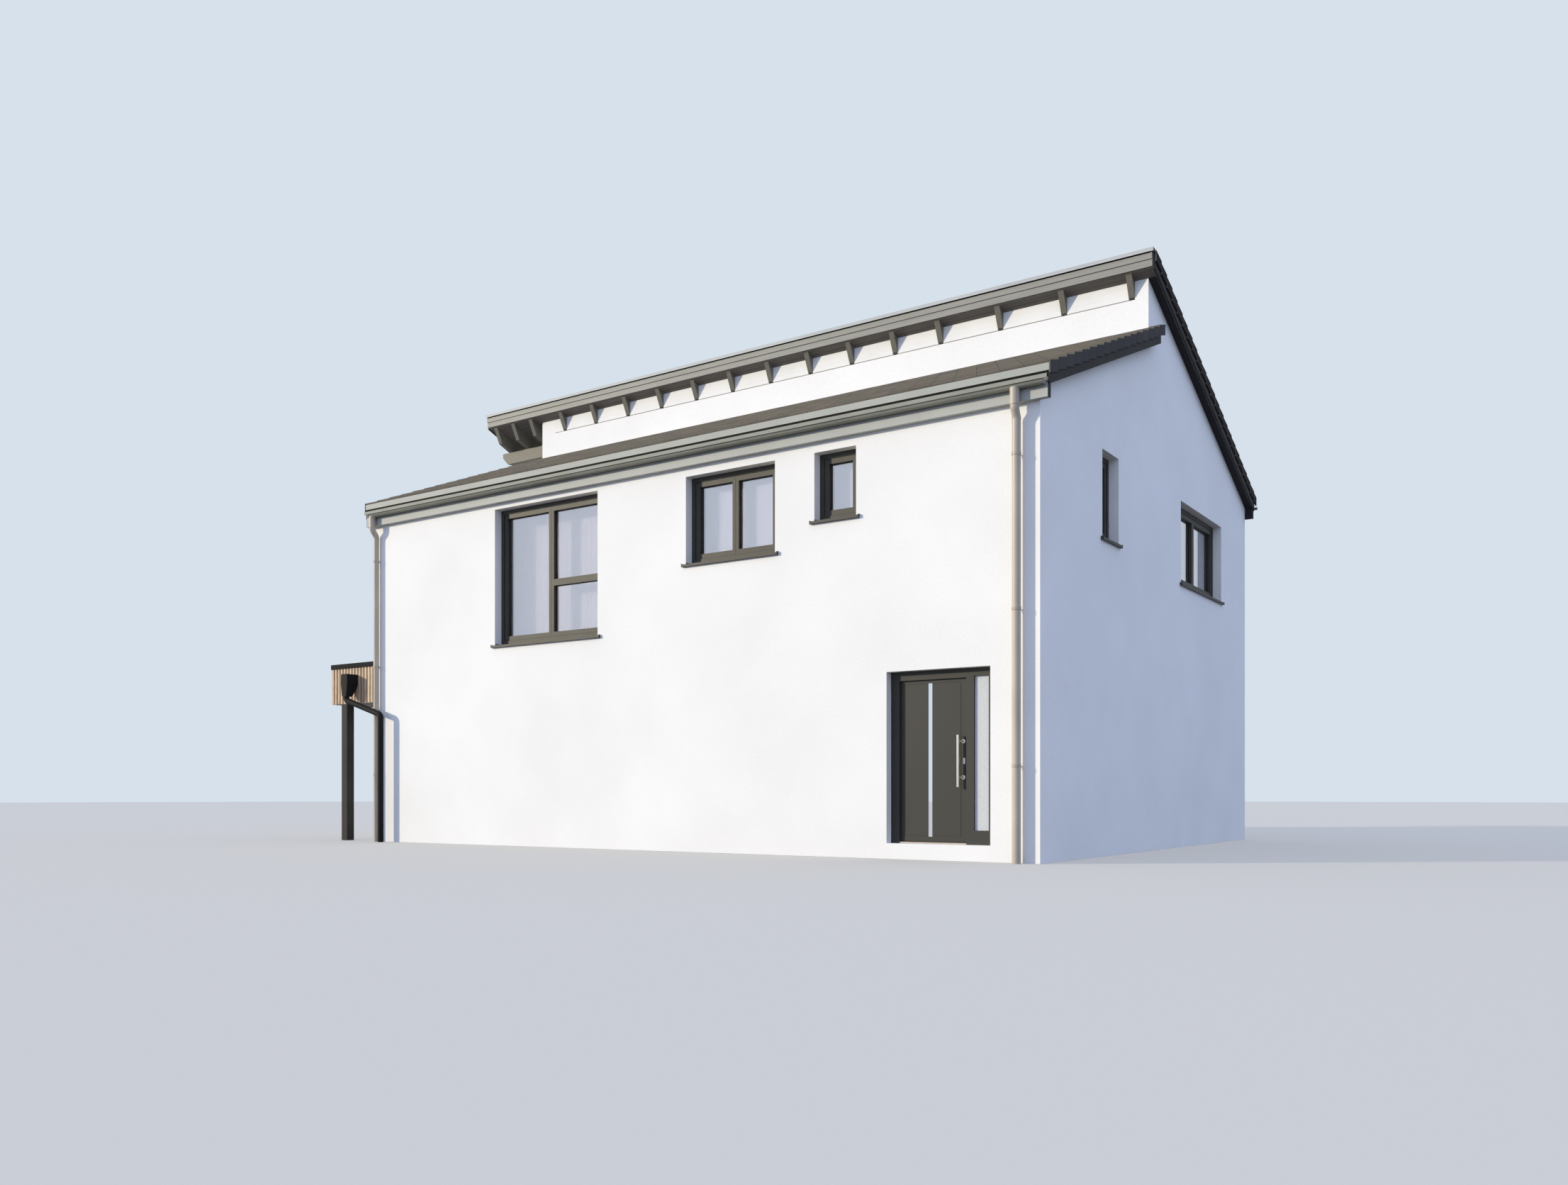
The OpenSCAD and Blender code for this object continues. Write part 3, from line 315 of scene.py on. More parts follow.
FINISHES = {
    "wall_render": mineral_render,
    "concrete": concrete,
    "roof_tile": lambda: concrete_tile("coated_concrete_tile", "#6C675E", "#7C756A"),
    # The upright verge flaps are the same tiles, painted darker as their shade, the rear ones darker still
    "front_flap": lambda: concrete_tile("shade_darkened_verge_tile", "#403D3E", "#4A4747"),
    "rear_flap": lambda: concrete_tile("shaded_verge_tile", "#1B191A", "#232121"),
    # Planed spruce boards under the overhang, in the timber's paint, painted dark as their shade
    "roof_boarding": lambda: painted_timber("shade_darkened_boarding", "#67625C", "#746E67", (0.05, 1.0, 1.0)),
    # Rafters and purlins: the fascia's paint, painted darker as the shade under the overhang
    "painted_timber": lambda: painted_timber("shade_darkened_rafters", "#6D6B62", "#79776D", (1.0, 0.06, 1.0)),
    # Dark verge boards, painted nearly black as their shade; the plates on the verges and eave ends take this
    # too
    "verge_board": lambda: painted_timber("shade_darkened_verge_board", "#1B1A1E", "#242326", (1.0, 0.06, 1.0), 0.7),
    "fascia_board": lambda: painted_timber("painted_fascia", "#919089", "#9D9C95", (0.05, 1.0, 1.0)),
    # White fibre cement boards between the rafters
    "panel_board": lambda: coated("fibre_cement_board", "#F1F0ED", "#F6F5F2", 0.85, cloud=2.5, shine=0.2),
    # Folded, powder-coated aluminium sheet
    "eave_metal": lambda: coated("folded_aluminium", "#A8AAA3", "#B1B3AC", 0.6, cloud=1.2, shine=0.25),
    "box_metal": lambda: coated("folded_box_aluminium", "#B2B4AF", "#BBBDB8", 0.6, cloud=1.2, shine=0.25),
    "flashing": lambda: coated("ridge_aluminium", "#B2B4B3", "#BCBEBD", 0.55, cloud=1.2, shine=0.3),
    "gutter_metal": lambda: coated("coated_gutter_sheet", "#909187", "#9B9C92", 0.6, cloud=1.6, shine=0.2),
    "pipe_beige": lambda: coated("coated_downpipe", "#B7AC9E", "#C0B5A7", 0.42, cloud=1.5, shine=0.35),
    "clip_steel": lambda: coated("coated_steel_clip", "#ACA194", "#B6AB9E", 0.45, cloud=25.0, shine=0.35),
    # Dark satin finishes: nearly black in the shade, olive where they throw the low sun's light back
    "window_frame": lambda: coated("charcoal_profile_foil", "#2E2C28", "#36342F", 0.57, cloud=3.0, shine=0.5),
    "sill_metal": lambda: coated("powder_coated_sill", "#2E2C29", "#363431", 0.57, cloud=3.0, shine=0.5),
    "clear_glass": lambda: glass("coated_float_glass", "#FAF8FD", 0.0, 0.45),
    "mirror_glass": lambda: glass("mirrored_door_glass", "#FCFCFC", 0.02, 0.95),
    "frosted_glass": satin_glass,
    "door_paint": lambda: coated("powder_coated_door", "#262522", "#2C2B28", 0.59, cloud=1.2, shine=0.5),
    "handle_steel": brushed_steel,
    "slat_wood": larch_slats,
    "canopy_timber": lambda: painted_timber("stained_canopy_boards", "#4A3A30", "#5C483C", (0.05, 1.0, 1.0)),
    "canopy_sheet": lambda: coated("folded_canopy_edge", "#1B1B1D", "#232325", 0.75, cloud=2.0, shine=0.1),
    "post_paint": lambda: coated("powder_coated_post", "#302E2C", "#393734", 0.65, cloud=2.0, shine=0.15),
    "black_metal": lambda: coated("black_coated_sheet", "#18181A", "#1F1F21", 0.65, cloud=2.0, shine=0.12),
    "curtain": voile,
    "blind": lambda: coated("woven_roller_blind", "#B2B4C3", "#BABCCA", 0.9, cloud=1.0, shine=0.1),
    # White coated aluminium rail
    "rail": lambda: coated("curtain_rail_aluminium", "#DADAD8", "#E2E2E0", 0.45, cloud=4.0),
    # Black EPDM seal: matt and soft
    "seal": lambda: coated("epdm_rubber", "#1B1B1C", "#242425", 0.8, cloud=20.0, shine=0.2),
    # Black anodised vent grille
    "vent": lambda: coated("black_vent_grille", "#161616", "#1D1D1D", 0.7, cloud=8.0, shine=0.15),
}
_made = {}


def finish(name):
    """The material of that name, made once."""
    if name not in _made:
        _made[name] = FINISHES[name]()
    return _made[name]


# Meshes


def piece(name, bm, body, slot, material=None, open_sheet=False):
    """Turns a bmesh, drawn in place, into an object that rides on a body. An open sheet is shaded smooth."""
    if not open_sheet:
        bmesh.ops.recalc_face_normals(bm, faces=bm.faces)
    mesh = bpy.data.meshes.new(name)
    bm.to_mesh(mesh)
    bm.free()
    mesh.materials.append(finish(material or slot))
    mesh.polygons.foreach_set("use_smooth", [open_sheet] * len(mesh.polygons))
    made = bpy.data.objects.new(name, mesh)
    bpy.context.scene.collection.objects.link(made)
    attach(made, body)
    return made


def merge(whole, bm):
    """Moves everything in one bmesh over to another."""
    mesh = bpy.data.meshes.new("merged")
    bm.to_mesh(mesh)
    bm.free()
    whole.from_mesh(mesh)
    bpy.data.meshes.remove(mesh)


def verts_in(geometry):
    return [g for g in geometry if isinstance(g, bmesh.types.BMVert)]


def prism(bm, outline, along):
    """Extrudes a flat outline, given as points, by the vector along. Returns its vertices, near end first."""
    near = [bm.verts.new(p) for p in outline]
    far = verts_in(bmesh.ops.extrude_face_region(bm, geom=[bm.faces.new(near)])["geom"])
    bmesh.ops.translate(bm, verts=far, vec=Vector(along))
    return near + far


def eased(bm, made, size):
    """Bevels every edge of a closed form. Returns its new vertices."""
    edges = list({e for v in made for e in v.link_edges})
    out = bmesh.ops.bevel(bm, geom=edges, offset=size, segments=1, profile=0.5, affect="EDGES", material=-1)
    return list({v for f in out["faces"] for v in f.verts})


def block(bm, low, high, turn=None, bevel=0.0):
    """A box from corner to corner, with its edges bevelled, then turned."""
    made = bmesh.ops.create_cube(bm, size=1.0)["verts"]
    bmesh.ops.scale(bm, verts=made, vec=Vector(high) - Vector(low))
    bmesh.ops.translate(bm, verts=made, vec=(Vector(low) + Vector(high)) / 2)
    if bevel:
        made = eased(bm, made, bevel)
    if turn:
        bmesh.ops.transform(bm, matrix=turn, verts=made)


def strip(bm, path, along, thick):
    """A thin sheet that follows a path of points, swept by the vector along."""
    points = [bm.verts.new(p) for p in path]
    edges = [bm.edges.new(pair) for pair in zip(points, points[1:])]
    grown = bmesh.ops.extrude_edge_only(bm, edges=edges)["geom"]
    bmesh.ops.translate(bm, verts=verts_in(grown), vec=Vector(along))
    faces = [g for g in grown if isinstance(g, bmesh.types.BMFace)]
    bmesh.ops.solidify(bm, geom=faces, thickness=thick)


def rod(bm, radius, start, end, segments=16):
    """A round bar from start to end, with flat ends."""
    start, end = Vector(start), Vector(end)
    made = bmesh.ops.create_cone(
        bm, cap_ends=True, segments=segments, radius1=radius, radius2=radius, depth=(end - start).length
    )["verts"]
    turn = (end - start).to_track_quat("Z", "Y").to_matrix().to_4x4()
    bmesh.ops.transform(bm, matrix=Matrix.Translation((start + end) / 2) @ turn, verts=made)
    return made


def side_matrix(side):
    """Takes x to the right, y up and z outwards on one side to the house's own directions."""
    return (
        Matrix.Rotation(math.radians(TURNS[side]), 4, "Z")
        @ Matrix.Translation((0, -(HALF_DEP if side in ("front", "rear") else HALF_LEN), 0))
        @ Matrix.Rotation(math.radians(90), 4, "X")
    )


def rear_line(d):
    """Height of the rear roof's tile noses at depth d behind the front wall's face."""
    return REAR_LINE_Z + RISE * (2 * HALF_DEP - d)


def soffit_line(d):
    """Height of the rear roof's boarding at depth d, seen from below."""
    return rear_line(d) - TILE_BUILD - DECK_T


def roof_matrix(rear):
    """Takes x across, y up the slope and z off it, from the lowest tile noses, to the house's directions."""
    if rear:
        start = Vector((0, REAR_FOOT_D - HALF_DEP, REAR_LINE_Z - (REAR_FOOT_D - 2 * HALF_DEP) * RISE))
        return Matrix.Translation(start) @ Matrix.Rotation(math.pi, 4, "Z") @ Matrix.Rotation(PITCH, 4, "X")
    start = Vector((0, -HALF_DEP - TILES_OUT, FRONT_LINE_Z - TILES_OUT * RISE))
    return Matrix.Translation(start) @ Matrix.Rotation(PITCH, 4, "X")


# Roof tiles

NOSE = 0.028
TILT = NOSE / GAUGE
TILE_T = 0.026
TILE_EASE = 0.003
FLAP_GAP = 0.004


def tile_outline(width, joint):
    """Cross-section of an interlocking tile: joint and lower tongue on the right, groove near the left."""
    edge, tongue = width - joint, width + 0.008
    return [
        (0, -TILE_EASE), (TILE_EASE, 0), (0.042, 0), (0.045, -TILE_EASE), (0.048, 0), (edge - TILE_EASE, 0),
        (edge, -TILE_EASE), (edge, -0.015), (tongue, -0.015), (tongue, -TILE_T), (0.011, -TILE_T),
        (0.011, -0.0145), (0, -0.0145),
    ]


def first_tile(bm, width, joint, x0, length):
    """One tile at the foot of the slope, with its lower edge eased."""
    near = prism(bm, [(x0 + x, 0, z) for x, z in tile_outline(width, joint)], (0, TILE_EASE, 0))
    for v in near[: len(near) // 2]:
        if v.co.z > -0.01:
            v.co.z -= TILE_EASE
    back = [f for f in bm.faces if all(abs(v.co.y - TILE_EASE) < 1e-6 for v in f.verts)]
    last = verts_in(bmesh.ops.extrude_face_region(bm, geom=back)["geom"])
    bmesh.ops.translate(bm, verts=last, vec=(0, length - TILE_EASE, 0))
    bmesh.ops.delete(bm, geom=[f for f in back if f.is_valid], context="FACES_ONLY")
    tilt = Matrix(((1, 0, 0, 0), (0, 1, 0, 0), (0, -TILT, 1, 0), (0, 0, 0, 1)))
    bmesh.ops.transform(bm, matrix=tilt, verts=bm.verts)


def course_starts(first, end):
    """Distance up the slope of each course's nose: the first course may show less than the others."""
    return [0.0] + [first + i * GAUGE for i in range(math.ceil((end - first) / GAUGE - 0.01))]


def lay_tiles(rear, x0, x1, starts, end, sizes):
    """Lays all courses of one roof in a broken bond, each course cut at both verges."""
    draw = random.Random(11 if rear else 7)
    whole = bmesh.new()
    shade = whole.verts.layers.float.new("tile_shade")
    columns = round((x1 - x0) / sizes.tile_w)
    width = (x1 - x0) / columns
    lap = 0.075
    for course, start in enumerate(starts):
        bm = bmesh.new()
        tone = bm.verts.layers.float.new("tile_shade")
        left = x0 - (course * sizes.bond) % width
        first_tile(bm, width, sizes.joint, left, min(GAUGE + lap, end - start))
        geometry = list(bm.verts) + list(bm.edges) + list(bm.faces)
        tiles = [list(bm.verts)]
        for i in range(1, columns + 1):
            copied = verts_in(bmesh.ops.duplicate(bm, geom=geometry)["geom"])
            bmesh.ops.translate(bm, verts=copied, vec=(i * width, 0, 0))
            tiles.append(copied)
        for tile in tiles:
            value, lift = draw.random(), draw.uniform(-0.0012, 0.0008)
            for v in tile:
                v[tone] = value
                v.co.z += lift
        for x, way in ((x0, -1), (x1, 1)):
            cut = bmesh.ops.bisect_plane(
                bm, geom=list(bm.verts) + list(bm.edges) + list(bm.faces), dist=1e-6, plane_co=(x, 0, 0),
                plane_no=(way, 0, 0), clear_outer=True,
            )["geom_cut"]
            bmesh.ops.holes_fill(bm, edges=[e for e in cut if isinstance(e, bmesh.types.BMEdge)], sides=0)
        bmesh.ops.translate(bm, verts=bm.verts, vec=(0, start, 0))
        merge(whole, bm)
    bmesh.ops.transform(whole, matrix=roof_matrix(rear), verts=whole.verts)
    return whole, shade, draw


def hang_flaps(whole, shade, draw, rear, ends, starts, end):
    """Hangs a flap over the verge board from each course's end tile, with upright joints between them."""
    fall = (math.sin(PITCH) - TILT * math.cos(PITCH)) / (math.cos(PITCH) + TILT * math.sin(PITCH))
    foot = roof_matrix(rear).translation
    for x in ends:
        for start, stop in zip(starts, starts[1:] + [end]):
            run = (stop - start) * math.cos(PITCH) - FLAP_GAP
            y0, z0 = start * math.cos(PITCH), foot.z + start * math.sin(PITCH)
            y1, z1 = y0 + run, z0 + run * fall
            outline = [(y0, z0), (y1, z1), (y1, z1 - FLAP_H), (y0, z0 - FLAP_H)]
            made = prism(whole, [(x, -abs(foot.y) + y, z) for y, z in outline], (FLAP_T, 0, 0))
            made = eased(whole, made, TILE_EASE)
            middle = sum((v.co for v in made), Vector()) / len(made)
            # The flaps' broad side faces and lower faces take the second, darker material: painted shade; the
            # rest keep the tiles' tone
            for f in {f for v in made for f in v.link_faces}:
                low = f.calc_center_median().z < middle.z and abs(f.normal.y) < 0.9
                f.material_index = 1 if abs(f.normal.x) > 0.9 or low else 0
            tone, lift = draw.random(), draw.uniform(-0.001, 0.001)
            for v in made:
                v[shade] = tone
                v.co.x += lift
                if rear:
                    v.co.y = -v.co.y


def close_roof(name, whole, nodes, flap):
    """Makes one roof's tiles and flaps a piece, in place of the nodes that it stands for."""
    made = piece(name, whole, "house", "roof_tile")
    # The second material is the flaps' darker tone: painted shade
    made.data.materials.append(finish(flap))
    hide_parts(*nodes)


class HouseSizes(bpy.types.PropertyGroup):
    """Sizes of the added pieces"""

    tile_w: bpy.props.FloatProperty(
        name="Tile width", description="Cover width of a roof tile", default=0.31, min=0.2, max=0.4,
        subtype="DISTANCE", unit="LENGTH",
    )
    bond: bpy.props.FloatProperty(
        name="Tile bond", description="Shift of each tile course against the one below", default=0.1225,
        min=0, max=0.2, subtype="DISTANCE", unit="LENGTH",
    )
    joint: bpy.props.FloatProperty(
        name="Tile joint", description="Gap between two tiles of a course", default=0.006, min=0.002,
        max=0.012, subtype="DISTANCE", unit="LENGTH",
    )
    board_w: bpy.props.FloatProperty(
        name="Board width", description="Cover width of a roof board", default=0.121, min=0.08, max=0.2,
        subtype="DISTANCE", unit="LENGTH",
    )
    groove: bpy.props.FloatProperty(
        name="Board groove", description="Half width of the V groove between two boards", default=0.006,
        min=0.002, max=0.012, subtype="DISTANCE", unit="LENGTH",
    )
    seal_w: bpy.props.FloatProperty(
        name="Seal width", description="Width of the rubber seal round a pane", default=0.006, min=0.003,
        max=0.01, subtype="DISTANCE", unit="LENGTH",
    )
    fold: bpy.props.FloatProperty(
        name="Curtain fold", description="Spacing of the curtain folds", default=0.048, min=0.04, max=0.25,
        subtype="DISTANCE", unit="LENGTH",
    )
    fold_deep: bpy.props.FloatProperty(
        name="Fold depth", description="Depth of the curtain folds from the middle", default=0.007, min=0.005,
        max=0.05, subtype="DISTANCE", unit="LENGTH",
    )


class HouseStage(bpy.types.PropertyGroup):
    """Colours and lamps of the stage"""

    floor: bpy.props.FloatVectorProperty(
        name="Floor", description="Colour of the floor", subtype="COLOR", size=4, default=linear("#A8A59F"),
        min=0, max=1,
    )
    backdrop: bpy.props.FloatVectorProperty(
        name="Backdrop", description="Pale colour behind the house", subtype="COLOR", size=4,
        default=linear("#D6E1EC"), min=0, max=1,
    )
    bounce: bpy.props.FloatVectorProperty(
        name="Bounce", description="Colour that the floor throws back on the house", subtype="COLOR", size=4,
        default=linear("#625E58"), min=0, max=1,
    )
    key: bpy.props.FloatProperty(
        name="Key lamp", description="Strength of the key lamp", default=3.1, min=0, max=10
    )
    fill: bpy.props.FloatProperty(
        name="Fill light", description="Strength of the light from all round", default=1.13, min=0, max=3
    )


def sizes_of(context):
    return context.scene.house_sizes


class HOUSE_OT_front_tiles(bpy.types.Operator):
    """Lays the front roof's tiles and verge flaps"""

    bl_idname = "house.front_tiles"
    bl_label = "Front roof tiles"

    def execute(self, context):
        end, wall_gap = COURSES_FRONT * GAUGE, 0.002
        starts = course_starts(GAUGE, end)
        whole, shade, draw = lay_tiles(False, -FLAP_X, FLAP_X, starts, end - wall_gap, sizes_of(context))
        hang_flaps(whole, shade, draw, False, (-FLAP_X - FLAP_T, FLAP_X), [*starts, end], end + GAUGE)
        # One more verge tile on each side runs past the high wall
        past = roof_matrix(False) @ Matrix.Translation((0, end, 0))
        for x0 in (-FLAP_X, HALF_LEN):
            x1 = x0 + FLAP_X - HALF_LEN
            corners = [(x0, 0, 0), (x1, 0, 0), (x1, 0, -TILE_T), (x0, 0, -TILE_T)]
            last = prism(whole, corners, (0, GAUGE - FLAP_GAP, 0))
            for v in last:
                v.co.z -= v.co.y * TILT
                v[shade] = 0.5
            bmesh.ops.transform(whole, matrix=past, verts=last)
        close_roof("front_tile_courses", whole, ["front_roof_tiles"], "front_flap")
        return {"FINISHED"}


class HOUSE_OT_rear_tiles(bpy.types.Operator):
    """Lays the rear roof's tiles and verge flaps"""

    bl_idname = "house.rear_tiles"
    bl_label = "Rear roof tiles"

    def execute(self, context):
        end = (REAR_FOOT_D - DECK_START_D) / math.cos(PITCH)
        # The eave course shows less, so that the others' noses lie where the verge's steps do
        starts = course_starts(end - COURSES_REAR * GAUGE, end)
        # Seen up the slope from the back, the house's left end lies on the right
        whole, shade, draw = lay_tiles(True, -FLAP_X, -REAR_LEFT_X, starts, end, sizes_of(context))
        hang_flaps(whole, shade, draw, True, (REAR_LEFT_X - FLAP_T, FLAP_X), starts, end)
        close_roof("rear_tile_courses", whole, ["rear_roof_tiles", "verge_flaps"], "rear_flap")
        return {"FINISHED"}


class HOUSE_OT_boarding(bpy.types.Operator):
    """Lays the rear roof's boards with a V groove between two, seen under its overhangs"""

    bl_idname = "house.boarding"
    bl_label = "Roof boarding"

    def execute(self, context):
        sizes = sizes_of(context)
        bm = bmesh.new()
        start, end, groove = DECK_START_D, 2 * HALF_DEP + EAVE_OVER, sizes.groove
        inset = 0.02
        left, right = REAR_LEFT_X + inset, FLAP_X - inset
        count = round((end - start) / math.cos(PITCH) / sizes.board_w)
        step = (end - start) / count
        for i in range(count):
            d0, d1 = start + i * step, start + (i + 1) * step
            under = [(d0, groove), (d0 + groove, 0), (d1 - groove, 0), (d1, groove)]
            under += [(d1, DECK_T), (d0, DECK_T)]
            outline = [(left, d - HALF_DEP, soffit_line(d) + up) for d, up in under]
            prism(bm, outline, (right - left, 0, 0))
        made = piece("rear_roof_boards", bm, "house", "roof_boarding")
        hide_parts("rear_roof_deck")
        return {"FINISHED"}


def sashes_of(width, sashes, bar):
    """Left and right edge, left and right stile and crossbar height of each sash."""
    each = (width - 2 * FRAME_W - 2 * SASH_GAP - (sashes - 1) * SASH_GAP) / sashes
    left = FRAME_W + SASH_GAP
    return [
        (
            left + i * (each + SASH_GAP), left + i * (each + SASH_GAP) + each,
            SASH_W if i == 0 else MEET_W, SASH_W if i == sashes - 1 else MEET_W,
            bar if i == sashes - 1 else 0,
        )
        for i in range(sashes)
    ]


def panes_of(window):
    """Left, bottom, right and top of each pane, from the window's lower left corner."""
    width, height, sashes, bar = window[3:]
    found = []
    for x0, x1, left, right, cross in sashes_of(width, sashes, bar):
        low, high = FRAME_W + SASH_GAP + SASH_W, height - FRAME_W - SASH_GAP - SASH_W
        cuts = [(low, cross - BAR_W / 2), (cross + BAR_W / 2, high)] if cross else [(low, high)]
        found += [(x0 + left, y0, x1 - right, y1) for y0, y1 in cuts]
    return found


def eave_matrix(rear):
    """Takes x along, y outwards and z from the roof line at the wall face to the house's directions."""
    return Matrix.Diagonal((1, 1 if rear else -1, 1, 1)) @ Matrix.Translation(
        (0, HALF_DEP, REAR_LINE_Z if rear else FRONT_LINE_Z)
    )


def spaced(start, end, gap):
    """Even places from start to end, about a gap apart."""
    count = round((end - start) / gap)
    return [start + i * (end - start) / count for i in range(count + 1)]


class HOUSE_OT_eave_details(bpy.types.Operator):
    """Sets a vent grille between each trim and gutter, and straps across the gutters"""

    bl_idname = "house.eave_details"
    bl_label = "Eave vents and straps"

    def execute(self, context):
        vents, straps = bmesh.new(), bmesh.new()
        # Each grille is a back plate with a rail at its foot and head and bars between them
        vent_low, vent_top, foot_z, head_z, rail_h = -0.226, -0.1595, -0.222, -0.168, 0.005
        bar_half, bar_gap = 0.002, 0.05
        plate, rail, face = EAVE_OVER + 0.0005, EAVE_OVER + 0.0025, EAVE_OVER + 0.0055
        strap_half, strap_low, strap_top, strap_in, strap_gap = 0.0125, -0.2435, -0.2395, 0.2, 0.72
        strap_back, strap_front = EAVE_OVER + 0.004, EAVE_OVER + 0.1315
        for rear, x0, x1, left in (
            (False, -BOX_END_X, BOX_END_X, -HALF_LEN), (True, REAR_VENT_X, BOX_END_X, REAR_STRAP_X),
        ):
            turn = eave_matrix(rear)
            block(vents, (x0, plate, vent_low), (x1, rail, vent_top), turn)
            for z in (foot_z, head_z):
                block(vents, (x0, rail, z), (x1, face, z + rail_h), turn)
            for x in spaced(x0 + bar_half, x1 - bar_half, bar_gap):
                block(vents, (x - bar_half, rail, foot_z + rail_h), (x + bar_half, face, head_z), turn)
            for x in spaced(left + strap_in, x1 - strap_in, strap_gap):
                near, far = (x - strap_half, strap_back, strap_low), (x + strap_half, strap_front, strap_top)
                block(straps, near, far, turn, 0.001)
        piece("eave_vents", vents, "house", None, "vent")
        piece("gutter_straps", straps, "house", "gutter_metal")
        return {"FINISHED"}


class HOUSE_OT_gutters(bpy.types.Operator):
    """Runs half-round sheet gutters with a folded lip and capped ends along both eaves"""

    bl_idname = "house.gutters"
    bl_label = "Gutters"

    def execute(self, context):
        sheet, lip_top, lip_low, lip_deep, back_up = 0.002, -0.236, -0.28, 0.02, 0.03
        # The body stops short of the lip's ends, and a cap and a band close it there
        short, band_out, band_w, steps = 0.058, 0.003, 0.014, 24
        radius = GUTTER_R - sheet
        middle, front = EAVE_OVER + GUTTER_R, EAVE_OVER + GUTTER_OUT
        turn_end = math.pi - math.asin((-lip_low - GUTTER_DROP) / radius)

        def arc(x, r, last):
            turns = [last * i / steps for i in range(steps + 1)]
            return [(x, middle - r * math.cos(t), -GUTTER_DROP - r * math.sin(t)) for t in turns]

        whole = bmesh.new()
        for rear, x0 in ((False, GUTTER_LEFT_X), (True, REAR_GUTTER_LEFT_X)):
            x1 = GUTTER_RIGHT_X
            bm = bmesh.new()
            body = arc(x0 + short, radius, turn_end)
            back = (x0 + short, EAVE_OVER + sheet, -GUTTER_DROP + back_up)
            strip(bm, [back, *body], (x1 - x0 - 2 * short, 0, 0), sheet)
            lip = [(front - sheet, lip_low), (front - sheet, lip_top), (front - lip_deep, lip_top)]
            lip = [body[-1][1:], *lip]
            strip(bm, [(x0, y, z) for y, z in lip], (x1 - x0, 0, 0), sheet)
            for end, way in ((x0 + short, 1), (x1 - short, -1)):
                prism(bm, arc(end, radius, math.pi), (way * sheet, 0, 0))
                strip(bm, arc(end, radius + band_out, turn_end), (way * band_w, 0, 0), sheet)
            bmesh.ops.transform(bm, matrix=eave_matrix(rear), verts=bm.verts)
            bmesh.ops.recalc_face_normals(bm, faces=bm.faces)
            merge(whole, bm)
        made = piece("gutter_runs", whole, "house", "gutter_metal")
        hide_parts("gutters")
        return {"FINISHED"}


class HOUSE_OT_ridge_and_verges(bpy.types.Operator):
    """Folds the ridge's sheet with its drip and a black strip under it as painted shadow, and lays near-black
    plates on the verges and the eave ends as painted shade
    """

    bl_idname = "house.ridge_and_verges"
    bl_label = "Ridge and verge closers"

    def execute(self, context):
        front, low, top = DECK_START_D - 0.055, 8.658, 8.712
        over, back, lift = DECK_START_D + 0.02, DECK_START_D + 0.3, 0.004
        path = [
            (front - 0.005, low), (front, low + 0.01), (front, top), (over, rear_line(over) + lift),
            (back, rear_line(back) + lift), (back + 0.004, rear_line(back) - 0.012),
        ]
        x0, x1 = REAR_LEFT_X - FLAP_T, HALF_LEN + 0.145
        bm = bmesh.new()
        strip(bm, [(x0, d - HALF_DEP, z) for d, z in path], (x1 - x0, 0, 0), 0.003)
        made = piece("ridge_sheet", bm, "house", "eave_metal", "flashing")
        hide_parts("ridge_flashing")

        bm = bmesh.new()
        # A black strip on the fascia just under the sheet's drip: painted shadow of the joint below the sheet
        face, vent_low, vent_top, inset = DECK_START_D - 0.035 - HALF_DEP, 8.6435, 8.659, 0.05
        block(bm, (x0 + inset, face - 0.002, vent_low), (x1 - inset, face - 0.0005, vent_top))
        piece("ridge_shade_strip", bm, "house", None, "vent")

        bm = bmesh.new()
        # Near-black plates on the eave boxes' ends, just off their faces: painted shade
        reach, rise_low, rise_top, plate_t = EAVE_OVER + 0.002, -0.29, -0.25, 0.0025
        outline = [(-0.002, BOX_LOW_Z), (reach, BOX_LOW_Z), (reach, rise_low), (-0.002, rise_top)]
        for x, way, rear in ((BOX_END_X, 1, False), (BOX_END_X, 1, True), (-BOX_END_X, -1, False)):
            plate = prism(bm, [(x + way * 0.0005, y, z) for y, z in outline], (way * plate_t, 0, 0))
            bmesh.ops.transform(bm, matrix=eave_matrix(rear), verts=plate)
        # Near-black front face and underside of the rear box where it runs past the gable: painted shade
        start, turn = HALF_LEN + 0.001, eave_matrix(True)
        block(bm, (start, -0.003, BOX_LOW_Z), (BOX_END_X, -0.0005, rise_top), turn)
        block(bm, (start, -0.003, BOX_LOW_Z - plate_t), (BOX_END_X + 0.003, reach, BOX_LOW_Z), turn)
        # Near-black board under the rear roof's right verge: painted shade
        d0, d1, board_t, board_w = HIGH_WALL_D, 2 * HALF_DEP + EAVE_OVER, 0.004, 0.109
        outline = [(d, soffit_line(d) + up) for d, up in ((d0, 0), (d1, 0), (d1, -board_t), (d0, -board_t))]
        prism(bm, [(HALF_LEN + 0.0005, d - HALF_DEP, z) for d, z in outline], (board_w, 0, 0))
        piece("verge_shade_plates", bm, "house", "verge_board")
        return {"FINISHED"}


